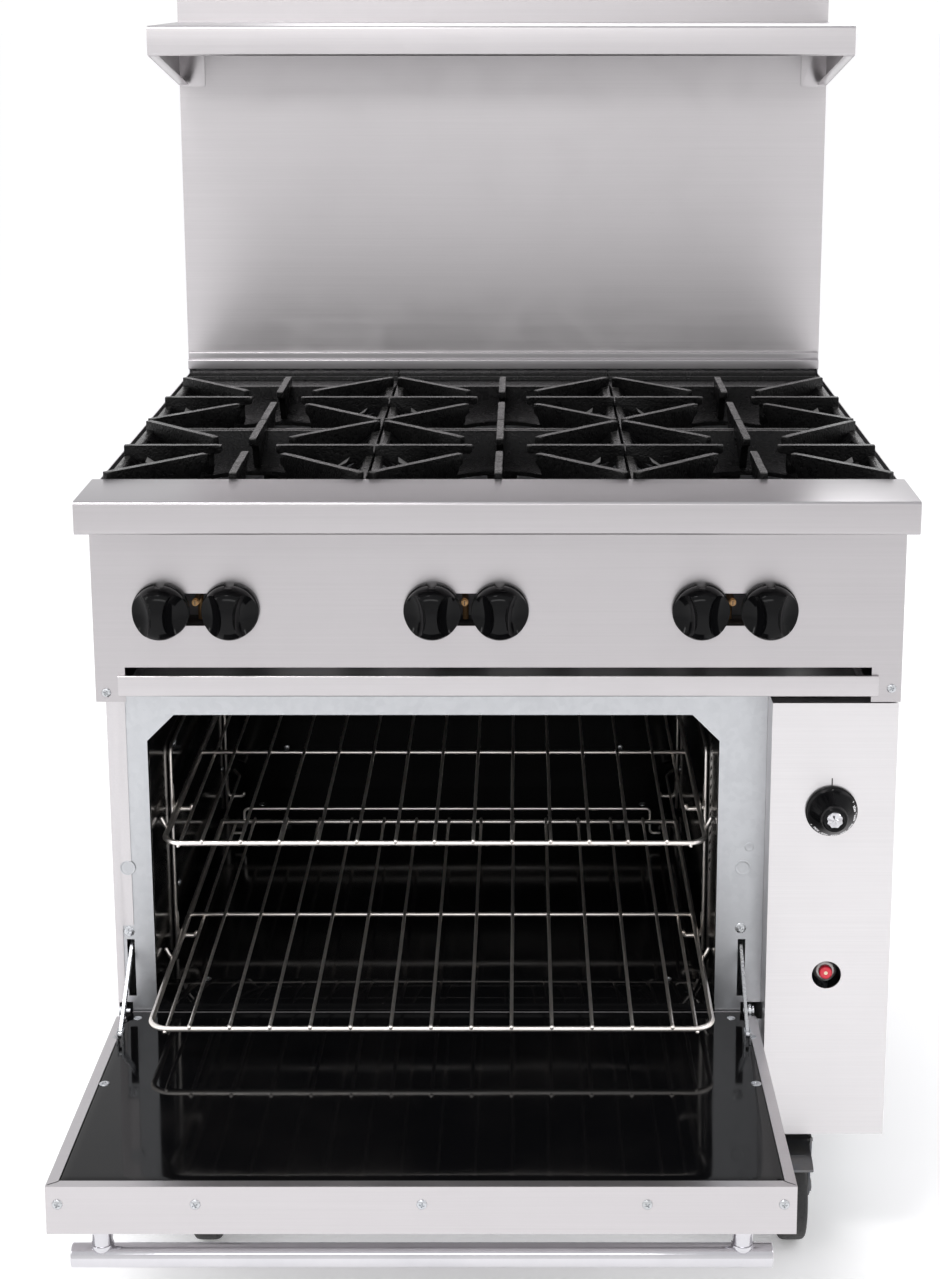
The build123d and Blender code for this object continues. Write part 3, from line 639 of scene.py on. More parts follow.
# the riser foot trim takes the darker copy as its second material: painted shade on the bands
bent_sheet(bm, [(744.8, 971.0), (739.2, 971.0), (739.2, 962.6), (728.8, 961.6), (728.8, 949.4), (744.8, 949.4)], 1.4, 0.5, -455.0, 455.0, mat=1, nx=12)
bent_sheet(bm, [(745.4, 1477.3), (783.6, 1477.3)], 1.0, 1.0, -456.0, -420.0)
bent_sheet(bm, [(745.4, 1477.3), (783.6, 1477.3)], 1.0, 1.0, 420.0, 456.0)
new_obj("riser_face", bm, [STEEL_X, STEEL_TOP_PAINTED_SHADE], "range_body", ["riser_front"], 30)

bm = bmesh.new()
bent_sheet(bm, [(500.0, 1403.8), (488.7, 1403.8), (488.7, 1440.6), (744.2, 1440.6), (744.2, 1412.0)], 1.2, 3.0, -456.9, 456.9, nx=24)
for sx in (-1, 1):
    x0, x1 = sorted((sx * 456.9, sx * 455.6))
    poly = [(490.2, 1403.4), (496, 1402.2), (736, 1354.4), (743.4, 1353.4), (743.4, 1438.8), (490.2, 1438.8)]
    prism(bm, poly, x0, x1, lambda p, w: V(w, p[0], p[1]), 0.35)
    # weld-backed turned flange along the sloping edge of the bracket
    a0, a1 = sorted((sx * 455.6, sx * 443.0))
    prism(bm, [(496, 1402.4), (736, 1354.6), (736.2, 1355.9), (496.2, 1403.7)], a0, a1, lambda p, w: V(w, p[0], p[1]), 0.25)
    # the bracket's back flange lies on the riser
    t0, t1 = sorted((sx * 455.6, sx * 420.5))
    prism(bm, [(t0, 1351.6), (t1 - 1.5, 1351.6), (t1, 1353.2), (t1, 1438.0), (t0, 1438.0)] if sx < 0 else [(t1, 1351.6), (t0 + 1.5, 1351.6), (t0, 1353.2), (t0, 1438.0), (t1, 1438.0)], 743.5, 744.7, lambda p, w: V(p[0], w, p[1]), 0.25)
shelf = new_obj("high_shelf_sheet", bm, [STEEL_TOP_PAINTED_SHADE, STEEL_X], "range_body", ["high_shelf"], 30)
# the shelf's top faces take the darker copy: painted shade
for p in shelf.data.polygons:
    if p.normal.z < 0.6:
        p.material_index = 1

# crumb tray: pan and hemmed front lip
bm = bmesh.new()
bent_sheet(bm, [(2.0, 706.2), (-1.2, 705.0), (-3.3, 705.0), (-3.3, 728.3), (-0.9, 728.3), (-0.9, 722.0)], 1.1, 1.4, -430.6, 430.6, nx=20)
for sx in (-1, 1):
    bm_box(bm, (sx * 430.6 - (0.6 if sx > 0 else -0.6), -2.9, 706), (sx * 430.9, -0.8, 727.5), bevel=0.2)
bm_box(bm, (-418, -0.6, 704.0), (418, 690, 705.2), bevel=0.3)
for a, b in (((-418, 0, 704.6), (-416.8, 690, 722)), ((416.8, 0, 704.6), (418, 690, 722)), ((-417.4, 688.8, 704.6), (417.4, 690, 722))):
    bm_box(bm, a, b, bevel=0.3)
new_obj("crumb_tray_pan", bm, STEEL_X, "tray", ["crumb_tray"], 30)

# ------------------------------------------------------------------ door liner and handle
def door_liner():
    bm = bmesh.new()
    x0, x1, y0, y1 = -445.3, 294.3, -392.8, -2.4
    nx, ny = 148, 78

    def zat(x, y):
        # the pressed liner is nearly flat with a soft rolled border and a faint oil-can wave
        e = min(x - x0, x1 - x, y - y0, 60.0)
        edge = -0.9 * math.exp(-(e / 3.2) ** 2)
        wave = 0.22 * noise.noise(Vector((x * 0.006, y * 0.007, 3.0))) + 0.10 * math.sin((x + 75) * 0.0085)
        fade = min(1.0, max(0.0, (min(x - x0, x1 - x, y - y0, y1 - y)) / 60.0))
        return -0.55 + edge + wave * fade

    top, bot = [], []
    for i in range(nx + 1):
        for lst, dz in ((top, 0.0), (bot, -1.0)):
            row = []
            for j in range(ny + 1):
                x = x0 + (x1 - x0) * i / nx
                y = y0 + (y1 - y0) * j / ny
                row.append(bm.verts.new(DV(x, y, min(zat(x, y), -0.42) + dz)))
            lst.append(row)

    def hole(i, j):
        x = x0 + (x1 - x0) * (i + 0.5) / nx
        y = y0 + (y1 - y0) * (j + 0.5) / ny
        return y > -14 and (x < -440 or x > 289)

    for i in range(nx):
        for j in range(ny):
            if hole(i, j):
                continue
            bm.faces.new((top[i][j], top[i + 1][j], top[i + 1][j + 1], top[i][j + 1]))
            bm.faces.new((bot[i][j], bot[i][j + 1], bot[i + 1][j + 1], bot[i + 1][j]))
    bmesh.ops.delete(bm, geom=[v for v in bm.verts if not v.link_faces], context="VERTS")
    bm.verts.ensure_lookup_table()
    # close the rim
    pairs = {}
    for i in range(nx + 1):
        for j in range(ny + 1):
            if top[i][j].is_valid and bot[i][j].is_valid:
                pairs[top[i][j]] = bot[i][j]
    for e in [e for e in bm.edges if len(e.link_faces) == 1 and e.verts[0] in pairs and e.verts[1] in pairs]:
        a, b = e.verts
        bm.faces.new((a, b, pairs[b], pairs[a]))
    return new_obj("door_liner_panel", bm, ENAMEL, "oven_door", ["door_inner_liner"], 30)


door_liner()

bm = bmesh.new()
a, b = DV(-437, -380, -90), DV(285, -380, -90)
L = 722.0
prof = [(6, 0), (6, 10.4), (1.2, 10.9), (0.2, 11.4), (0.0, 11.9), (0.5, 12.35), (1.4, 12.5)]
prof = prof + [(L / 2, 12.5)] + [(L - t, r) for t, r in reversed(prof)]
bm_lathe(bm, a, b, prof, 64)
for px in (-405.6, 254.0):
    bm_lathe(bm, DV(px, -380, -83.0), DV(px, -380, -52.2), [(0, 0), (0, 10.2), (3, 10.5), (24, 10.75), (27.5, 10.9), (28.4, 12.6), (30.0, 13.4), (30.8, 13.5), (30.8, 0)], 40)
    bm_lathe(bm, DV(px, -380, -76.0), DV(px, -380, -83.0), [(0, 0), (0, 11.6), (1.5, 12.0), (5.5, 11.2), (7.0, 10.3), (7, 0)], 40)
new_obj("door_handle_bar", bm, CHROME, "oven_door", ["door_handle"], 40)

# the open seam where each side flange meets the front wrap: inner corner, out to the edge, then down the face; a thin
# black tube along it is painted shade in the gap
bm = bmesh.new()
for sx, xi, xo in ((-1, -445.0, -456.9), (1, 294.0, 305.9)):
    pts = [DV(xi, -393.6, 0.02), DV(xi + sx * 3.5, -396.6, 0.02), DV(xi + sx * 7.6, -399.2, 0.02), DV(xi + sx * 10.6, -401.4, -0.15), DV(xo - sx * 0.1, -403.2, -1.2), DV(xo, -403.6, -3.5), DV(xo, -403.7, -8.5)]
    bm_tube(bm, pts, 0.42, 8)
new_obj("door_corner_gap_painted_shade", bm, INK_AND_PAINTED_SHADE, "oven_door", (), 60)

# ------------------------------------------------------------------ racks
def make_rack(name, node, body, front, z, mat):
    bm = bmesh.new()
    cx, w, d = -76.75, 650.0, 620.0
    R, r = 3.25, 2.1
    x0, x1 = cx - w / 2 + R, cx + w / 2 - R
    y0, y1 = front + R, front + d - R
    path = fillet_path([tuple(V(x0, y1, z)), tuple(V(x0, y0, z)), tuple(V(x1, y0, z)), tuple(V(x1, y1, z))], 0.024, 10)
    bm_tube(bm, path, R, 14)
    bm_tube(bm, [V(x0 + 1, y1 - 2, z), V(cx, y1 - 2, z), V(x1 - 1, y1 - 2, z)], R, 14)
    ym = (y0 + y1) / 2
    bm_tube(bm, [V(x0 + 1, ym, z - 1.0), V(cx, ym, z - 1.0), V(x1 - 1, ym, z - 1.0)], R - 0.5, 12)
    n, pitch = 13, 45.8
    for i in range(n):
        wx = cx + (i - (n - 1) / 2) * pitch
        k = 10
        pts = []
        for j in range(k + 1):
            y = y0 - 1.4 + (y1 + 1.2 - y0 + 1.4) * j / k
            sag = -0.5 * math.sin(math.pi * ((j / k * 2) % 1.0))
            pts.append(V(wx + 0.25 * noise.noise(Vector((wx * 0.3, y * 0.01, z))), y, z + 3.5 + sag))
        bm_tube(bm, pts, r, 10)
        # weld nuggets where a wire sits on a rail, and a rounded bead over the front rail
        bm_lathe(bm, V(wx, y0 - 4.6, z + 2.6), V(wx, y0 + 3.4, z + 3.6), [(0, 0), (0.5, 1.5), (1.6, 2.5), (3.4, 2.9), (5.6, 2.6), (8, 2.1), (8, 0)], 12)
        for yy in (ym, y1 - 2):
            bm_lathe(bm, V(wx, yy - 3.2, z + 2.4), V(wx, yy + 3.2, z + 2.4), [(0, 0), (0.8, 1.6), (3.2, 2.5), (5.6, 1.6), (6.4, 0)], 10)
    for s in (-1, 1):
        sx = cx + s * (w / 2 - 22)
        bm_tube(bm, fillet_path([tuple(V(sx, y0 + 1.5, z - 3.0)), tuple(V(sx, y0 + 12, z - 4.7)), tuple(V(sx, ym, z - 4.7)), tuple(V(sx, y1 - 1, z - 4.7))], 0.01, 4), r, 10)
        bm_lathe(bm, V(sx, y0 - 3.4, z - 3.0), V(sx, y0 + 4.0, z - 3.0), [(0, 0), (0.6, 1.7), (3, 2.6), (5.5, 2.3), (7.4, 0)], 12)
    a, b = cx - 290, cx + 285
    zt, zb = z + 18.8, z - 18.0
    yy = y1 + 0.6
    pts = [tuple(V(a - 14, yy, zb)), tuple(V(a, yy, zb)), tuple(V(a, yy, zt)), tuple(V(b, yy, zt)), tuple(V(b, yy, zb)), tuple(V(b + 14, yy, zb))]
    bm_tube(bm, fillet_path(pts, 0.006, 6), r, 10)
    return new_obj(name, bm, mat, body, [node], 60)


make_rack("upper_oven_rack", "rack_upper", "upper_rack", 56.0, 501.0, CHROME_WIRE)
make_rack("lower_oven_rack", "rack_lower", "lower_rack", -76.0, 331.3, CHROME_WIRE)

# rack guides: bright wire with hooked supports at each level
bm = bmesh.new()
for side in (-1, 1):
    cx = -76.75
    wall = cx + side * 331.4
    rail = cx + side * 321.75
    for yy in (190.0, 660.0):
        bm_tube(bm, [V(wall, yy, 304), V(wall, yy, 430), V(wall, yy, 562)], 2.4, 10)
    bm_tube(bm, fillet_path([tuple(V(wall, 190, 562)), tuple(V(wall, 196, 572)), tuple(V(wall, 654, 572)), tuple(V(wall, 660, 562))], 0.008, 5), 2.4, 10)
    for zr in (331.3, 501.0):
        zz = zr - 3.25 - 0.35 - 2.4
        bm_tube(bm, fillet_path([tuple(V(wall, 112, zz + 16)), tuple(V(wall + (rail - wall) * 0.6, 112, zz + 4)), tuple(V(rail, 118, zz)), tuple(V(rail, 430, zz)), tuple(V(rail, 733, zz)), tuple(V(wall, 741, zz + 6))], 0.006, 5), 2.4, 10)
        for yy in (190.0, 660.0):
            # a hook that leaves the upright, drops under the rail and turns up on its inner side
            inn = rail - side * 15.0
            pts = [tuple(V(wall, yy + 4.6, zz + 26)), tuple(V(wall, yy + 4.6, zz + 6)), tuple(V(wall - side * 3.0, yy + 4.6, zz - 5.2)), tuple(V(inn + side * 2, yy + 4.6, zz - 5.2)), tuple(V(inn, yy + 4.6, zz - 1.0))]
            bm_tube(bm, fillet_path(pts, 0.005, 5), 2.9, 12)
new_obj("oven_rack_guides", bm, CHROME_WIRE, "range_body", ["rack_guides"], 60)

# ------------------------------------------------------------------ grates
def grate_mesh():
    H = 149.2
    bm = bmesh.new()
    na, nr = 144, 14
    rh = 73.0
    rings = []

    def sq(a):
        c, s = math.cos(a), math.sin(a)
        k = max(abs(c), abs(s))
        return H / k

    prof = [(1.0, 941.0), (0.985, 943.2), (0.95, 943.4), (0.885, 943.0), (0.855, 941.0), (0.80, 936.5), (0.68, 929.5), (0.56, 923.5), (0.44, 918.5), (0.32, 914.0), (0.20, 910.5), (0.10, 908.6), (0.03, 908.2), (0.0, 906.8)]
    th = 5.0
    for t, z in prof:
        ring = []
        for k in range(na):
            a = 2 * math.pi * k / na
            R = rh + (sq(a) - rh) * t
            R = min(R, sq(a))
            jit = 0.35 * noise.noise(Vector((R * math.cos(a) * 0.08, R * math.sin(a) * 0.08, 1.7)))
            ring.append(bm.verts.new(Vector((R * math.cos(a), R * math.sin(a), z + jit * (0 if t > 0.98 else 1)))))
        rings.append(ring)
    low = []
    for (t, z), ring in zip(prof, rings):
        dz = th + (3.0 if t > 0.9 else 0.0)
        low.append([bm.verts.new(v.co + Vector((0, 0, -dz))) for v in ring])

    def window(i, k):
        a = (k + 0.5) * 360.0 / na
        t = (prof[i][0] + prof[i + 1][0]) / 2
        b = a % 180
        b = min(b, 180 - b)
        return 7.5 < b < 34 and 0.50 < t < 0.87

    m = len(prof)
    for i in range(m - 1):
        for k in range(na):
            j = (k + 1) % na
            if window(i, k):
                continue
            bm.faces.new((rings[i][k], rings[i + 1][k], rings[i + 1][j], rings[i][j]))
            bm.faces.new((low[i][k], low[i][j], low[i + 1][j], low[i + 1][k]))
    pair = {}
    for a, b in zip(rings, low):
        for p, q in zip(a, b):
            pair[p] = q
    for e in [e for e in bm.edges if len(e.link_faces) == 1 and e.verts[0] in pair and e.verts[1] in pair]:
        a, b = e.verts
        bm.faces.new((a, b, pair[b], pair[a]))
    bmesh.ops.delete(bm, geom=[v for v in bm.verts if not v.link_faces], context="VERTS")

    # blades: flat-topped ribs that deepen towards the rim
    def blade(ang, tip, outer, w, poly):
        ca, sa = math.cos(ang), math.sin(ang)

        def f(p, q):
            r, z = p
            wob = 0.35 * noise.noise(Vector((r * 0.05, ang * 3, z * 0.05)))
            return Vector((r * ca - (q + wob) * sa, r * sa + (q + wob) * ca, z))
        tmp = bmesh.new()
        a = [tmp.verts.new(f(p, -w / 2)) for p in poly]
        b = [tmp.verts.new(f(p, w / 2)) for p in poly]
        n = len(poly)
        tmp.faces.new(a)
        tmp.faces.new(b[::-1])
        for i in range(n):
            j = (i + 1) % n
            tmp.faces.new((a[i], b[i], b[j], a[j]))
        bmesh.ops.bevel(tmp, geom=[e for e in tmp.edges if e.calc_length() > 0.5], offset=1.1, segments=2, profile=0.6, affect="EDGES", clamp_overlap=True)
        me = bpy.data.meshes.new("t")
        tmp.to_mesh(me)
        tmp.free()
        bm.from_mesh(me)
        bpy.data.meshes.remove(me)

    def top_line(r0, r1, z=956.0, n=14):
        return [(r0 + (r1 - r0) * i / n, z + (0.0 if i in (0, n) else 0.22 * noise.noise(Vector((r0 + i * 1.7, r1, 5.0))))) for i in range(n + 1)]

    for q, tip in ((0, 32.5), (180, 32.5), (90, 34.0), (270, 34.0)):
        a = math.radians(q)
        poly = top_line(tip, H - 0.4) + [(H - 0.4, 939.0), (120, 934.0), (100, 922), (86, 912), (78, 909), (74.5, 915), (66, 936), (56, 943.5), (44, 945.6), (tip + 3, 945.9), (tip, 947.5)]
        blade(a, tip, H, 8.4, poly)
    for q in (45, 135, 225, 315):
        a = math.radians(q)
        out = H * math.sqrt(2) - 6.5
        poly = top_line(64.0, out) + [(out, 940.0), (170, 934), (130, 922), (100, 912), (84, 907), (76.0, 908.5), (74.0, 918), (76.5, 931), (72, 940), (66, 942.5), (64.0, 944.5)]
        blade(a, 64, out, 8.4, poly)
    # small triangular fillets between the middle side fingers and the rim; their top faces take a light grey copy of
    # the iron, a painted highlight
    web_keys = set()
    for sx in (-1, 1):
        for sy in (-1, 1):
            pts = [(sx * 121, sy * 4.0), (sx * 92, sy * 4.0), (sx * 119, sy * 30.0)]
            zz = [942.0, 922.0, 941.5]
            up = [bm.verts.new(Vector((p[0], p[1], z))) for p, z in zip(pts, zz)]
            dn = [bm.verts.new(Vector((p[0], p[1], z - 4))) for p, z in zip(pts, zz)]
            web_keys.add(bm.faces.new(up))
            bm.faces.new(dn[::-1])
            for i in range(3):
                j = (i + 1) % 3
                bm.faces.new((up[i], dn[i], dn[j], up[j]))
    bmesh.ops.recalc_face_normals(bm, faces=bm.faces)
    for v in bm.verts:
        v.co = v.co / 1000.0
    bm.faces.index_update()
    webs = {f.index for f in web_keys}
    me = bpy.data.meshes.new("grate_casting")
    bm.to_mesh(me)
    bm.free()
    me.materials.append(IRON)
    me.materials.append(IRON_WORN_EDGE_AND_HIGHLIGHT)
    me.materials.append(IRON_WEB_PAINTED_LIGHT)
    for q in me.polygons:
        zc = q.center.z * 1000.0
        # the upward faces at the top of the casting take the lighter iron: wear, and a painted highlight
        if zc > 954.6 or (zc > 942.9 and q.normal.z > 0.9 and max(abs(q.center.x), abs(q.center.y)) > 0.138):
            q.material_index = 1
        # the fillets' top faces take the light grey iron: painted highlight
        elif q.index in webs:
            q.material_index = 2
    set_smooth(me, 38)
    return me


GRATE_ME = grate_mesh()
for i, (cn, gx) in enumerate((("left", -299.6), ("centre", 0.0), ("right", 299.6))):
    for row, gy in (("front", 183.5), ("rear", 483.1)):
        me = GRATE_ME.copy()
        off = V(gx, gy, 0)
        me.transform(Matrix.Translation(off))
        ob = bpy.data.objects.new("grate_%s_%s" % (row, cn), me)
        COL.objects.link(ob)
        settle(ob, "%s_%s_grate" % (row, cn), ["%s_grate_%s" % (row, cn)])

# supports, rear bars and spill guards (cast)
bm = bmesh.new()
for x0, x1, y0, y1 in ((-455.4, -436, 34.6, 640), (436, 455.4, 34.6, 640), (-158, -142, 48.2, 620), (142, 158, 48.2, 620), (-436, 436, 34.6, 48), (-436, 436, 621, 640)):
    bm_box(bm, (x0, y0, 920), (x1, y1, 929.7), bevel=1.2)
for x0, x1 in ((-448.8, -150.4), (-149.2, 149.2), (150.4, 448.8)):
    # cast rear bar: a low deck that rises to a double lip at the riser
    poly = [(640.6, 922), (727, 922), (727, 947.4), (725, 948), (713, 948), (708.5, 946.5), (706.5, 941.2), (699.5, 940.6), (698.0, 944.2), (691, 944.6), (689, 940.2), (668, 939.6), (648, 940.4), (642.5, 940.0), (640.6, 937.5)]
    prism(bm, poly, x0, x1, lambda p, w: V(w, p[0], p[1]), 0.8)
new_obj("grate_supports_and_rear_bars", bm, IRON, "range_body", ["grate_supports"], 32)

# burner heads: cap with two rings of ports
bm = bmesh.new()
for gx in (-299.6, 0.0, 299.6):
    for gy in (183.5, 483.1):
        c0 = V(gx, gy, 870)
        c1 = V(gx, gy, 905)
        prof = [(0, 0), (0, 22), (2, 33), (8, 36), (9.5, 46.0), (11, 48), (19, 48), (22.0, 46.4), (23.4, 44.4), (24.2, 41.5), (24.6, 37.5), (26.0, 34.8), (28.2, 32.5), (28.9, 27.0), (28.6, 19.5), (27.4, 15.5), (24.0, 13.6), (19.0, 12.6), (19.0, 0)]
        bm_lathe(bm, c0, c1, prof, 72)
        for ring, rr, zz, cnt in ((0, 44.9, 893.4, 28), (1, 30.0, 898.6, 18), (2, 22.5, 898.8, 12)):
            for k in range(cnt):
                a = 2 * math.pi * (k + 0.5 * (ring % 2)) / cnt
                p = V(gx + rr * math.cos(a), gy + rr * math.sin(a), zz)
                q = p + Vector((0.3 * math.cos(a), 0.3 * math.sin(a), 0.9)) * 0.0008
                # each port is a small black disc: painted shade standing in for the hole
                bm_lathe(bm, p, q, [(0, 0), (0.25, 1.9), (0.5, 1.5), (0.5, 0)], 8, mat=1)
new_obj("burner_head_castings", bm, [IRON_BURNER, INK_AND_PAINTED_SHADE], "range_body", ["burner_heads"], 40)

# ------------------------------------------------------------------ knobs
def knob_mesh():
    bm = bmesh.new()
    a, b = Vector((0, 0, 0)), Vector((0, -1, 0))
    prof = [(0.0, 0), (0.0, 31.6), (0.5, 32.3), (1.2, 32.5), (3.6, 32.5), (4.3, 32.2), (4.6, 31.4), (5.2, 30.9), (6.6, 31.3), (9, 31.5), (13, 31.0), (18, 29.9), (22.4, 28.3), (25.2, 26.2), (27.4, 23.0), (29.0, 19.2), (30.2, 14.8), (31.0, 10.0), (31.4, 5.0), (31.5, 0)]
    bm_lathe(bm, a, b, prof, 96)
    me = bpy.data.meshes.new("knob_raw")
    bmesh.ops.remove_doubles(bm, verts=bm.verts, dist=1e-7)
    bmesh.ops.recalc_face_normals(bm, faces=bm.faces)
    bm.to_mesh(me)
    bm.free()
    ob = bpy.data.objects.new("knob_raw", me)
    COL.objects.link(ob)
    cutters = []
    for s in (-1, 1):
        cb = bmesh.new()
        bmesh.ops.create_uvsphere(cb, u_segments=64, v_segments=40, radius=1.0)
        for v in cb.verts:
            v.co = Vector((s * 32.0 + v.co.x * 26.2, -35.0 + v.co.y * 27.0, -1.0 + v.co.z * 38.0)) / 1000.0
        cm = bpy.data.meshes.new("cut")
        cb.to_mesh(cm)
        cb.free()
        co = bpy.data.objects.new("cut", cm)
        COL.objects.link(co)
        cutters.append(co)
    cb = bmesh.new()
    bm_lathe(cb, Vector((0, 0.004, 0.0318)), Vector((0, -0.02, 0.0318)), [(0, 0), (0, 5.3), (16.0, 5.3), (18.6, 4.7), (20.4, 3.2), (21.2, 0)], 32)
    bmesh.ops.recalc_face_normals(cb, faces=cb.faces)
    cm = bpy.data.meshes.new("cut")
    cb.to_mesh(cm)
    cb.free()
    co = bpy.data.objects.new("cut", cm)
    COL.objects.link(co)
    cutters.append(co)
    for c in cutters:
        md = ob.modifiers.new("b", "BOOLEAN")
        md.operation = "DIFFERENCE"
        md.object = c
        md.solver = "EXACT"
    bpy.context.view_layer.update()
    apply_mods(ob)
    bm = bmesh.new()
    bm.from_mesh(ob.data)
    bmesh.ops.remove_doubles(bm, verts=bm.verts, dist=1e-6)
    sharp = [e for e in bm.edges if len(e.link_faces) == 2 and e.calc_face_angle(0.0) > math.radians(28)]
    rim = bmesh.ops.bevel(bm, geom=sharp, offset=0.00070, segments=3, profile=0.5, affect="EDGES", clamp_overlap=True)
    # the bevel faces along the knob's sharp rims take the grey copy: painted highlight lines
    for f in rim["faces"]:
        f.material_index = 1
    me = bpy.data.meshes.new("knob_body")
    bm.to_mesh(me)
    bm.free()
    for c in cutters:
        bpy.data.objects.remove(c)
    bpy.data.objects.remove(ob)
    me.materials.append(BLACK_GLOSS)
    me.materials.append(KNOB_RIM_PAINTED_HIGHLIGHT)
    set_smooth(me, 45)
    return me


KNOB_ME = knob_mesh()
KNOBS = (-379.0, -301.0, -74.0, 2.0, 228.0, 305.0)
for i, kx in enumerate(KNOBS):
    me = KNOB_ME.copy()
    me.transform(Matrix.Translation(V(kx, -2.5, 806)))
    bm = bmesh.new()
    bm.from_mesh(me)
    bm_cyl(bm, V(kx, -3.0, 806), V(kx, 33, 806), 3.95, 20, 0.5)
    bm.to_mesh(me)
    bm.free()
    ob = bpy.data.objects.new("gas_knob_%d" % (i + 1), me)
    COL.objects.link(ob)
    settle(ob, "knob_%d" % (i + 1), ["burner_knob_%d" % (i + 1)])

# shadow box behind the panel openings: dark plates as painted shade, so the valves sit in a dark cavity
bm = bmesh.new()
for cx in (-340.0, -36.0, 266.5):
    bm_box(bm, (cx - 21.5, 1.25, 826), (cx + 21.5, 12, 827), bevel=0.2)
    bm_box(bm, (cx - 21.5, 1.25, 785), (cx + 21.5, 12, 786), bevel=0.2)
    # slotted pilot adjusting screw
    bm_lathe(bm, V(cx - 2, 5.5, 812), V(cx - 2, 20, 812), [(0, 0), (0, 2.4), (0.6, 3.0), (5, 3.0), (5, 4.2), (9, 4.2), (9, 0)], 20, mat=1)
    # the screw's slot is a black bar: painted shade in the slot
    bm_box(bm, (cx - 2.6, 5.1, 809.6), (cx - 1.4, 5.9, 814.4), mat=2)
new_obj("panel_opening_painted_shade_plates", bm, [PIPE_AND_SHADE_PLATES, BRASS, INK_AND_PAINTED_SHADE], "range_body", (), 35)

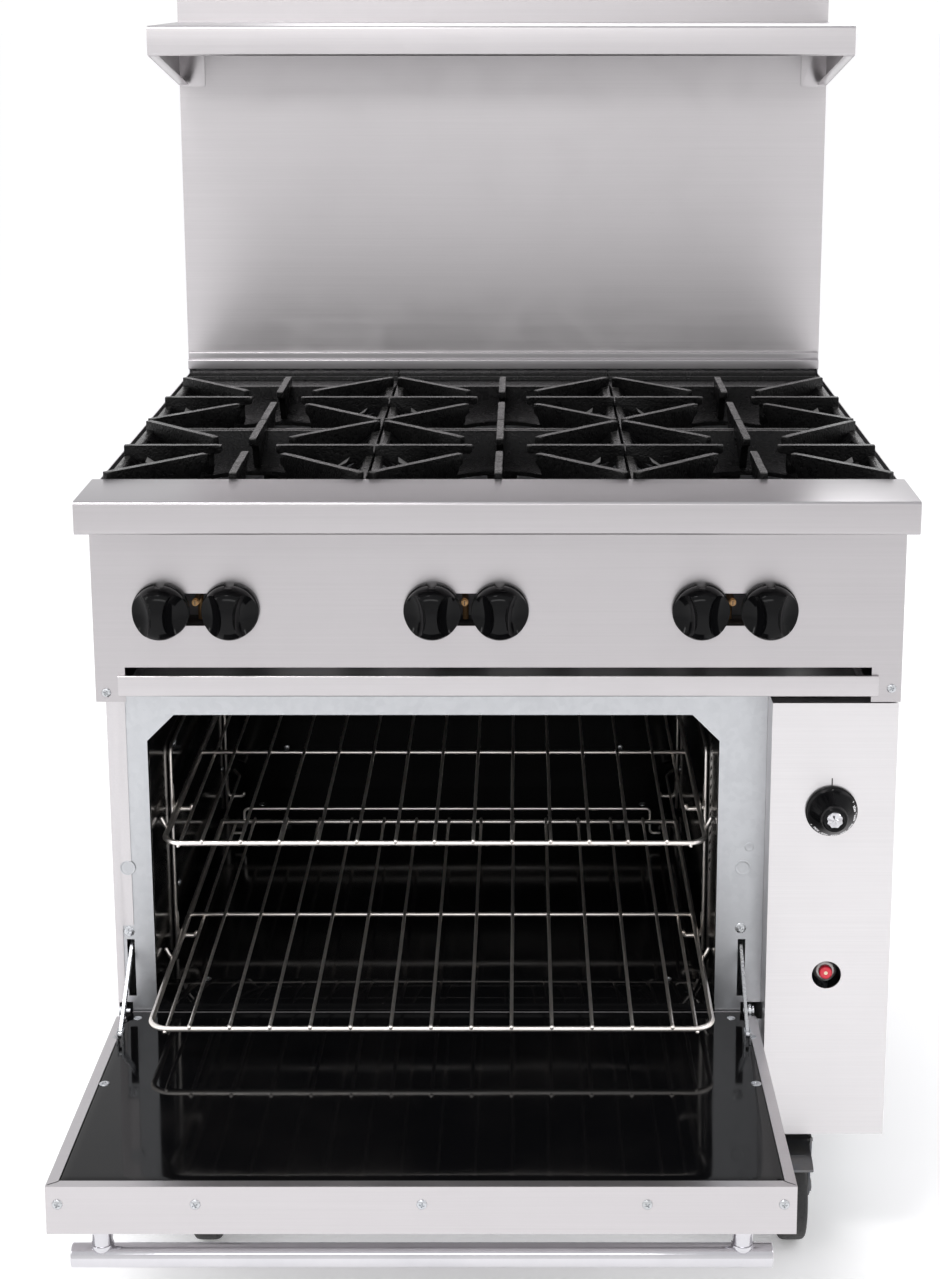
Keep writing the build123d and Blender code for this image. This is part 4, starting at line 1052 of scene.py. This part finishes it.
# ------------------------------------------------------------------ thermostat dial
def dial():
    cx, cz = 383.6, 562.0
    bm = bmesh.new()
    a, b = V(cx, 8.5, cz), V(cx, -30, cz)
    prof = [(0, 0), (0, 29.2), (0.5, 30.0), (1.6, 30.0), (2.2, 29.4), (2.4, 28.8), (3.2, 28.9), (5.0, 28.6), (8, 26.6), (12, 23.8), (16, 20.9), (20, 18.0), (22.4, 16.2), (24.0, 15.2), (25.4, 14.9), (27.0, 14.9), (29.0, 14.4), (30.0, 13.4), (30.3, 12.2), (30.1, 11.3), (28.6, 10.8), (28.2, 10.5), (28.2, 0)]
    bm_lathe(bm, a, b, prof, 96)
    bm_cyl(bm, V(cx, 8.0, cz), V(cx, 42, cz), 2.95, 20, 0.4)
    # raised pointer rib on the cone, at the top
    rib = [(28.0, 1.5), (17.0, 1.1)]
    p = []
    for k, (r, hw) in enumerate(rib):
        y = 8.5 - (5.0 + (28.6 - r) * (17.4 / 12.4)) if r < 28.6 else 3.5
        for sx in (-1, 1):
            p.append(bm.verts.new(V(cx + sx * hw, y - 0.1, cz + r)))
            p.append(bm.verts.new(V(cx + sx * hw * 0.6, y - 1.1, cz + r + 0.3)))
    # p: outer-left base/top, outer-right base/top, inner-left base/top, inner-right base/top
    for q in ((1, 3, 7, 5), (0, 1, 5, 4), (3, 2, 6, 7), (0, 2, 3, 1), (4, 5, 7, 6), (0, 4, 6, 2)):
        bm.faces.new([p[i] for i in q])
    # faceted chrome cap in the hub
    top = V(cx, -21.9, cz)
    ring0, ring1, ring2 = [], [], []
    for k in range(16):
        ang = 2 * math.pi * k / 16
        r0, r1, r2 = 10.6, (9.4 if k % 2 else 8.0), (4.2 if k % 4 == 1 else 3.0)
        y1 = -20.9 if k % 2 else -21.6
        ring0.append(bm.verts.new(V(cx + r0 * math.cos(ang), -19.6, cz + r0 * math.sin(ang))))
        ring1.append(bm.verts.new(V(cx + r1 * math.cos(ang), y1, cz + r1 * math.sin(ang))))
        ring2.append(bm.verts.new(V(cx + r2 * math.cos(ang + 0.2), -20.6 - 0.9 * (k % 4 == 0), cz + r2 * math.sin(ang + 0.2))))
    cv = bm.verts.new(V(cx, -20.2, cz))
    for k in range(16):
        j = (k + 1) % 16
        for q in ((ring0[k], ring1[k], ring1[j], ring0[j]), (ring1[k], ring2[k], ring2[j], ring1[j]), (ring2[k], cv, ring2[j])):
            bm.faces.new(q).material_index = 1
    # graduation marks near the rim
    for deg in list(range(60, 241, 15)) + [0]:
        t = math.radians(90 - deg)
        for rr, ln in ((28.2, 2.2 if deg % 30 else 3.4),):
            yy = lambda r: 8.5 - (5.0 + (28.6 - r) * (17.4 / 12.4)) - 0.18
            cs, sn = math.cos(t), math.sin(t)
            qs = []
            for r, w in ((rr, -0.35), (rr, 0.35), (rr - ln, 0.35), (rr - ln, -0.35)):
                qs.append((r, w))
            up = [bm.verts.new(V(cx + r * cs - w * sn, yy(r), cz + r * sn + w * cs)) for r, w in qs]
            dn = [bm.verts.new(V(cx + r * cs - w * sn, yy(r) + 0.3, cz + r * sn + w * cs)) for r, w in qs]
            bm.faces.new(up).material_index = 2
            bm.faces.new(dn[::-1]).material_index = 2
            for i in range(4):
                j = (i + 1) % 4
                bm.faces.new((up[i], dn[i], dn[j], up[j])).material_index = 2
    new_obj("oven_temperature_dial", bm, [BLACK_GLOSS, CHROME, PRINT], "dial", ["thermostat_dial"], 32)
    # numerals lie on the cone
    for n, deg in (("0", 0), ("200", 75), ("250", 100), ("300", 125), ("350", 150), ("400", 175), ("450", 200), ("500", 225)):
        cu = bpy.data.curves.new("num", "FONT")
        cu.body = n
        cu.size = 0.0052
        cu.offset = 0.00012
        cu.extrude = 0.00010
        cu.align_x = "CENTER"
        cu.align_y = "CENTER"
        cu.resolution_u = 3
        t = math.radians(90 - deg)
        r = 25.6
        slope = math.atan2(12.4, 17.4)
        y = 8.5 - (5.0 + (28.6 - r) * (17.4 / 12.4)) - 0.32
        pos = V(cx + r * math.cos(t), y, cz + r * math.sin(t))
        radial = Vector((math.cos(t), 0, math.sin(t)))
        nrm = (Vector((0, -1, 0)) * math.cos(math.pi / 2 - slope) + radial * math.sin(math.pi / 2 - slope)).normalized()
        nrm = (Vector((0, -1, 0)) * 12.4 + radial * 17.4).normalized()
        upv = (radial - nrm * radial.dot(nrm)).normalized()
        if abs(deg) > 0:
            upv = upv
        right = upv.cross(nrm).normalized()
        tmp = bpy.data.objects.new("tmpnum", cu)
        COL.objects.link(tmp)
        dg = bpy.context.evaluated_depsgraph_get()
        me = bpy.data.meshes.new_from_object(tmp.evaluated_get(dg))
        me.transform(Matrix((( right.x, upv.x, nrm.x, pos.x), (right.y, upv.y, nrm.y, pos.y), (right.z, upv.z, nrm.z, pos.z), (0, 0, 0, 1))))
        bpy.data.objects.remove(tmp)
        me.materials.clear()
        me.materials.append(PRINT)
        ob = bpy.data.objects.new("dial_number_" + n, me)
        COL.objects.link(ob)
        settle(ob, "dial")


dial()
bm = bmesh.new()
bm_box(bm, (382.9, 9.55, 592.5), (384.3, 10.0, 601.5), bevel=0.15)
new_obj("dial_index_mark", bm, INK_AND_PAINTED_SHADE, "range_body", (), 40)

# ------------------------------------------------------------------ reset button, collar and control bodies
bm = bmesh.new()
rx, rz = 384.0, 357.0
bm_lathe(bm, V(rx, 14, rz), V(rx, 48, rz), [(0.6, 0), (0.6, 2.6), (0.0, 2.9), (0.1, 5.6), (0.5, 6.9), (1.4, 7.7), (3.0, 7.95), (34, 7.95), (34, 0)], 48)
# the cream disc at the button's centre is a painted highlight, a lamp's reflection on the red dome
bm_lathe(bm, V(rx, 14.55, rz), V(rx, 16, rz), [(0, 0), (0.0, 2.3), (0.5, 2.55), (0.6, 0)], 24, mat=1)
new_obj("safety_reset_button", bm, [RED, BUTTON_DOT_PAINTED_HIGHLIGHT], "button", ["reset_button"], 40)

bm = bmesh.new()
prof = [(0.0, 8.2), (0.0, 9.6), (0.5, 11.4), (1.2, 12.2)]
for k in range(16):
    t = 1.6 + k * 1.5
    prof += [(t, 13.0), (t + 0.75, 12.1)]
prof += [(26.5, 13.0), (38, 13.0), (38, 8.2)]
bm_lathe(bm, V(rx, 20, rz), V(rx, 60, rz), prof + [(0.0, 8.2)], 48)
bm_lathe(bm, V(rx, 37, rz), V(rx, 45, rz), [(0, 13.1), (0, 17.0), (0.6, 18.0), (6, 18.0), (6.5, 17.4), (6.5, 13.1), (0, 13.1)], 6)
bm_box(bm, (366, 58, 335), (402, 100, 380), bevel=2.5, mat=1)
bm_box(bm, (378, 37.5, 322), (390, 39.0, 344), bevel=0.4, mat=2)
bm_box(bm, (355, 24, 535), (412, 70, 590), bevel=3.0, mat=1)
bm_box(bm, (362, 22.6, 542), (405, 24.2, 583), bevel=0.6, mat=2)
new_obj("safety_valve_and_thermostat", bm, [COLLAR, DIECAST, ZINC], "range_body", ["oven_controls"], 40)

# ------------------------------------------------------------------ casters
CAST = {"front_left": (-352.0, 85.0), "front_right": (352.0, 85.0), "rear_left": (-352.0, 730.0), "rear_right": (352.0, 730.0)}
for cname, (cx, cy) in CAST.items():
    wy = cy - 38.0
    bm = bmesh.new()
    a, b = V(cx - 20, wy, 63.5), V(cx + 20, wy, 63.5)
    tread = [(5.2, 47.0), (4.6, 50.0), (4.2, 57.0), (4.9, 60.4), (6.6, 62.3), (9.5, 63.2), (14.0, 63.45), (20.0, 63.5), (26.0, 63.45), (30.5, 63.2), (33.4, 62.3), (35.1, 60.4), (35.8, 57.0), (35.4, 50.0), (34.8, 47.0), (20, 45.5), (5.2, 47.0)]
    bm_lathe(bm, a, b, tread, 80, mat=0)
    core = [(0.0, 5.2), (0.0, 12.5), (0.6, 13.6), (4.0, 14.2), (8.0, 15.5), (10.5, 19.0), (11.2, 30.0), (10.6, 38.0), (8.0, 42.0), (6.4, 44.0), (5.6, 47.2), (34.4, 47.2), (33.6, 44.0), (32.0, 42.0), (29.4, 38.0), (28.8, 30.0), (29.5, 19.0), (32.0, 15.5), (36.0, 14.2), (39.4, 13.6), (40.0, 12.5), (40.0, 5.2), (0.0, 5.2)]
    bm_lathe(bm, a, b, core, 64, mat=1)
    new_obj("wheel_%s" % cname, bm, [RUBBER, BLACK_GLOSS], "wheel_" + cname, ["caster_wheel_" + cname], 40)

    bm = bmesh.new()
    poly = [(24, 136), (-57, 136), (-57, 120), (-53, 100), (-50, 78), (-50.5, 60), (-46, 53.5), (-38, 51.5), (-30, 53.5), (-25.8, 60), (-26, 78), (-14, 98), (12, 121), (24, 126)]
    for x0, x1 in ((cx + 21, cx + 24), (cx - 24, cx - 21)):
        prism(bm, [(cy + p, q) for p, q in poly], x0, x1, lambda p, w: V(w, p[0], p[1]), 0.8, 3)
    bm_box(bm, (cx - 24, cy - 46, 131.2), (cx + 24, cy + 24, 136), bevel=1.2, seg=3)
    bm_lathe(bm, V(cx, cy, 135.5), V(cx, cy, 147.7), [(0, 6.1), (0, 22.0), (1.2, 23.6), (2.4, 23.9), (5.4, 23.9), (6.0, 22.6), (6.6, 22.6), (7.2, 23.9), (10.6, 23.9), (11.8, 22.8), (12.1, 21.0), (12.1, 6.1), (0, 6.1)], 56)
    for sx in (-1, 1):
        bm_lathe(bm, V(cx + sx * 23.8, wy, 63.5), V(cx + sx * 27.0, wy, 63.5), [(0, 0), (0, 8.2), (2.2, 8.2), (2.9, 7.4), (3.1, 5.2), (3.1, 0)], 6)
        bm_lathe(bm, V(cx + sx * 23.6, wy, 63.5), V(cx + sx * 25.0, wy, 63.5), [(0, 0), (0, 9.6), (0.9, 9.6), (1.1, 9.0), (1.1, 0)], 32)
    bm_cyl(bm, V(cx - 24, wy, 63.5), V(cx + 24, wy, 63.5), 4.9, 24)
    new_obj("fork_%s" % cname, bm, CASTER, "fork_" + cname, ["caster_fork_" + cname], 40)
    if cname.startswith("front"):
        bm = bmesh.new()
        poly = [(cy - 47.4, 129.4), (cy - 47.4, 132.8), (cy - 86, 133), (cy - 98, 131.2), (cy - 108, 128.0), (cy - 111.6, 126.4), (cy - 111.8, 123.4), (cy - 98, 127.2), (cy - 86, 129.5)]
        prism(bm, poly, cx - 18.8, cx + 18.8, lambda p, w: V(w, p[0], p[1]), 0.9, 3)
        bm_cyl(bm, V(cx - 25.4, cy - 51, 131), V(cx + 25.4, cy - 51, 131), 2.45, 20, 0.5)
        for k in range(5):
            yy = cy - 90 - k * 3.6
            zz = 133.1 - (k * 0.95)
            bm_box(bm, (cx - 12, yy - 0.7, zz - 1.4), (cx + 12, yy + 0.7, zz - 0.2 - k * 0.12), bevel=0.3)
        new_obj("brake_pedal_%s" % cname, bm, CASTER, "brake_" + cname, ["brake_lever_" + cname], 40)

# ------------------------------------------------------------------ oven cavity detail
bm = bmesh.new()
ins = Vector((1, 0, 0))
for side, x in ((1, -411.0), (-1, 257.5)):
    # two columns of small vent perforations with rolled rims
    for r in range(2):
        for k in range(16):
            y = 148 + r * 9.0
            z = 430 + k * 12.0 + (r % 2) * 6.0
            p = V(x, y, z)
            q = p + Vector((side, 0, 0)) * 0.001
            bm_lathe(bm, p, q, [(0.0, 2.4), (0.35, 2.1), (0.4, 1.5), (0.05, 1.1), (0.0, 0)], 10)
    for y, z in ((240, 372), (240, 560), (640, 372), (640, 560)):
        bm_truss_screw(bm, V(x, y, z), Vector((side, 0, 0)), 5.0, 2.0, 0.4, mat=1)
for x, z in ((-330, 600), (176, 600), (-330, 360), (176, 360)):
    bm_truss_screw(bm, V(x, 760, z), Vector((0, -1, 0)), 5.0, 2.0, 0.6, mat=1)
for x, y in ((-360, 120), (206, 120), (-360, 690), (206, 690)):
    bm_truss_screw(bm, V(x, y, 297), Vector((0, 0, 1)), 5.5, 2.0, 0.5, mat=1)
# vent slot in the cavity's back, shown as a dark pressed louvre
bm_box(bm, (-20, 758.6, 560), (140, 760, 572), bevel=0.5)
# the liner's enamelled lip turns down over the frame below the mouth, and lines the mouth's edge
bm_box(bm, (-411.5, 54.1, 280.8), (258.0, 54.95, 296.8), bevel=0.3)
bm_box(bm, (-411.0, 54.1, 296.9), (257.5, 120, 297.9), bevel=0.3)
for x0, x1 in ((-411.6, -410.4), (256.9, 258.1)):
    bm_box(bm, (x0, 56.6, 298), (x1, 63, 630), bevel=0.2)
new_obj("cavity_perforations_and_screws", bm, [ENAMEL, ZINC], "range_body", (), 40)

# sheet-metal screws round the back and its riser
bm = bmesh.new()
up = Vector((0, 1, 0))
for i, (sx, sz) in enumerate([(sx, sz) for sx in (-440, 440) for sz in (200, 360, 520, 680, 840)] + [(sx, 170) for sx in (-300, -100, 100, 300)] + [(sx, 905) for sx in (-220, 0, 220)]):
    bm_truss_screw(bm, V(sx, 785.9, sz), up, 4.8, 2.0, 0.4 + i * 0.6)
new_obj("rear_panel_screws", bm, ZINC, "range_body", (), 40)

# ------------------------------------------------------------------ stage: floor, lights, camera
def stage_mat(name, col, rough=0.8):
    m = bpy.data.materials.new(name)
    m.use_nodes = True
    b = m.node_tree.nodes["Principled BSDF"]
    b.inputs["Base Color"].default_value = (*col, 1)
    b.inputs["Roughness"].default_value = rough
    b.inputs["Specular IOR Level"].default_value = 0.1
    return m


me = bpy.data.meshes.new("floor")
me.from_pydata([(-60, -60, 0), (60, -60, 0), (60, 60, 0), (-60, 60, 0)], [], [(0, 1, 2, 3)])
fm = stage_mat("floor_pale", (0.97, 0.97, 0.97))
fm.node_tree.nodes["Principled BSDF"].inputs["Emission Color"].default_value = (1, 1, 1, 1)
fm.node_tree.nodes["Principled BSDF"].inputs["Emission Strength"].default_value = 0.17
me.materials.append(fm)
floor = bpy.data.objects.new("floor", me)
COL.objects.link(floor)


def area(name, loc, target, size, power, col=(1, 1, 1), size_y=None):
    li = bpy.data.lights.new(name, "AREA")
    li.shape = "RECTANGLE"
    li.size = size
    li.size_y = size_y or size
    li.energy = power
    li.color = col
    ob = bpy.data.objects.new(name, li)
    ob.location = loc
    d = Vector(target) - Vector(loc)
    ob.rotation_euler = d.to_track_quat("-Z", "Y").to_euler()
    COL.objects.link(ob)
    return ob


area("key_top", (-0.9, -1.5, 3.6), (0, 0.1, 0.8), 1.1, 34, size_y=0.8)
area("fill_left", (-2.6, -1.6, 2.3), (0, 0, 0.8), 0.4, 13, size_y=1.8)
area("fill_right", (2.7, -1.3, 2.5), (0, 0, 0.8), 0.4, 11, size_y=1.6)
area("front_soft", (-0.3, -3.4, 2.5), (-0.05, 0.1, 0.5), 2.2, 13, size_y=0.5)
area("back_rim", (0.2, 2.6, 2.6), (0, 0.2, 0.95), 1.6, 14, size_y=0.5)

w = bpy.data.worlds.new("studio")
SCN.world = w
w.use_nodes = True
nt = w.node_tree
bg = nt.nodes["Background"]
tc = nt.nodes.new("ShaderNodeTexCoord")
sep = nt.nodes.new("ShaderNodeSeparateXYZ")
nt.links.new(tc.outputs["Generated"], sep.inputs[0])
mr = nt.nodes.new("ShaderNodeMapRange")
mr.inputs["From Min"].default_value = 0.10
mr.inputs["From Max"].default_value = 0.55
nt.links.new(sep.outputs["Z"], mr.inputs["Value"])
cr = nt.nodes.new("ShaderNodeValToRGB")
cr.color_ramp.elements[0].color = (1.0, 1.0, 1.0, 1)
cr.color_ramp.elements[1].color = (0.80, 0.80, 0.82, 1)
nt.links.new(mr.outputs["Result"], cr.inputs["Fac"])
nt.links.new(cr.outputs["Color"], bg.inputs["Color"])
bg.inputs["Strength"].default_value = 1.04

cam = bpy.data.cameras.new("photo_camera")
cam.sensor_fit = "AUTO"
cam.sensor_width = 36.0
cam.lens = 60.15
cam.shift_x = -0.0404
cam.shift_y = -0.1611
cam.clip_start = 0.05
cam.clip_end = 60
co = bpy.data.objects.new("photo_camera", cam)
co.location = V(26.4, -2311.0, 1500.0)
pitch, yaw = math.radians(12.0), 0.0
co.rotation_euler = (math.pi / 2 - pitch, 0, yaw)
COL.objects.link(co)
SCN.camera = co
SCN.view_settings.view_transform = "Standard"
SCN.view_settings.look = "None"
SCN.view_settings.exposure = 0.0
SCN.view_settings.gamma = 1.0

bpy.context.view_layer.update()
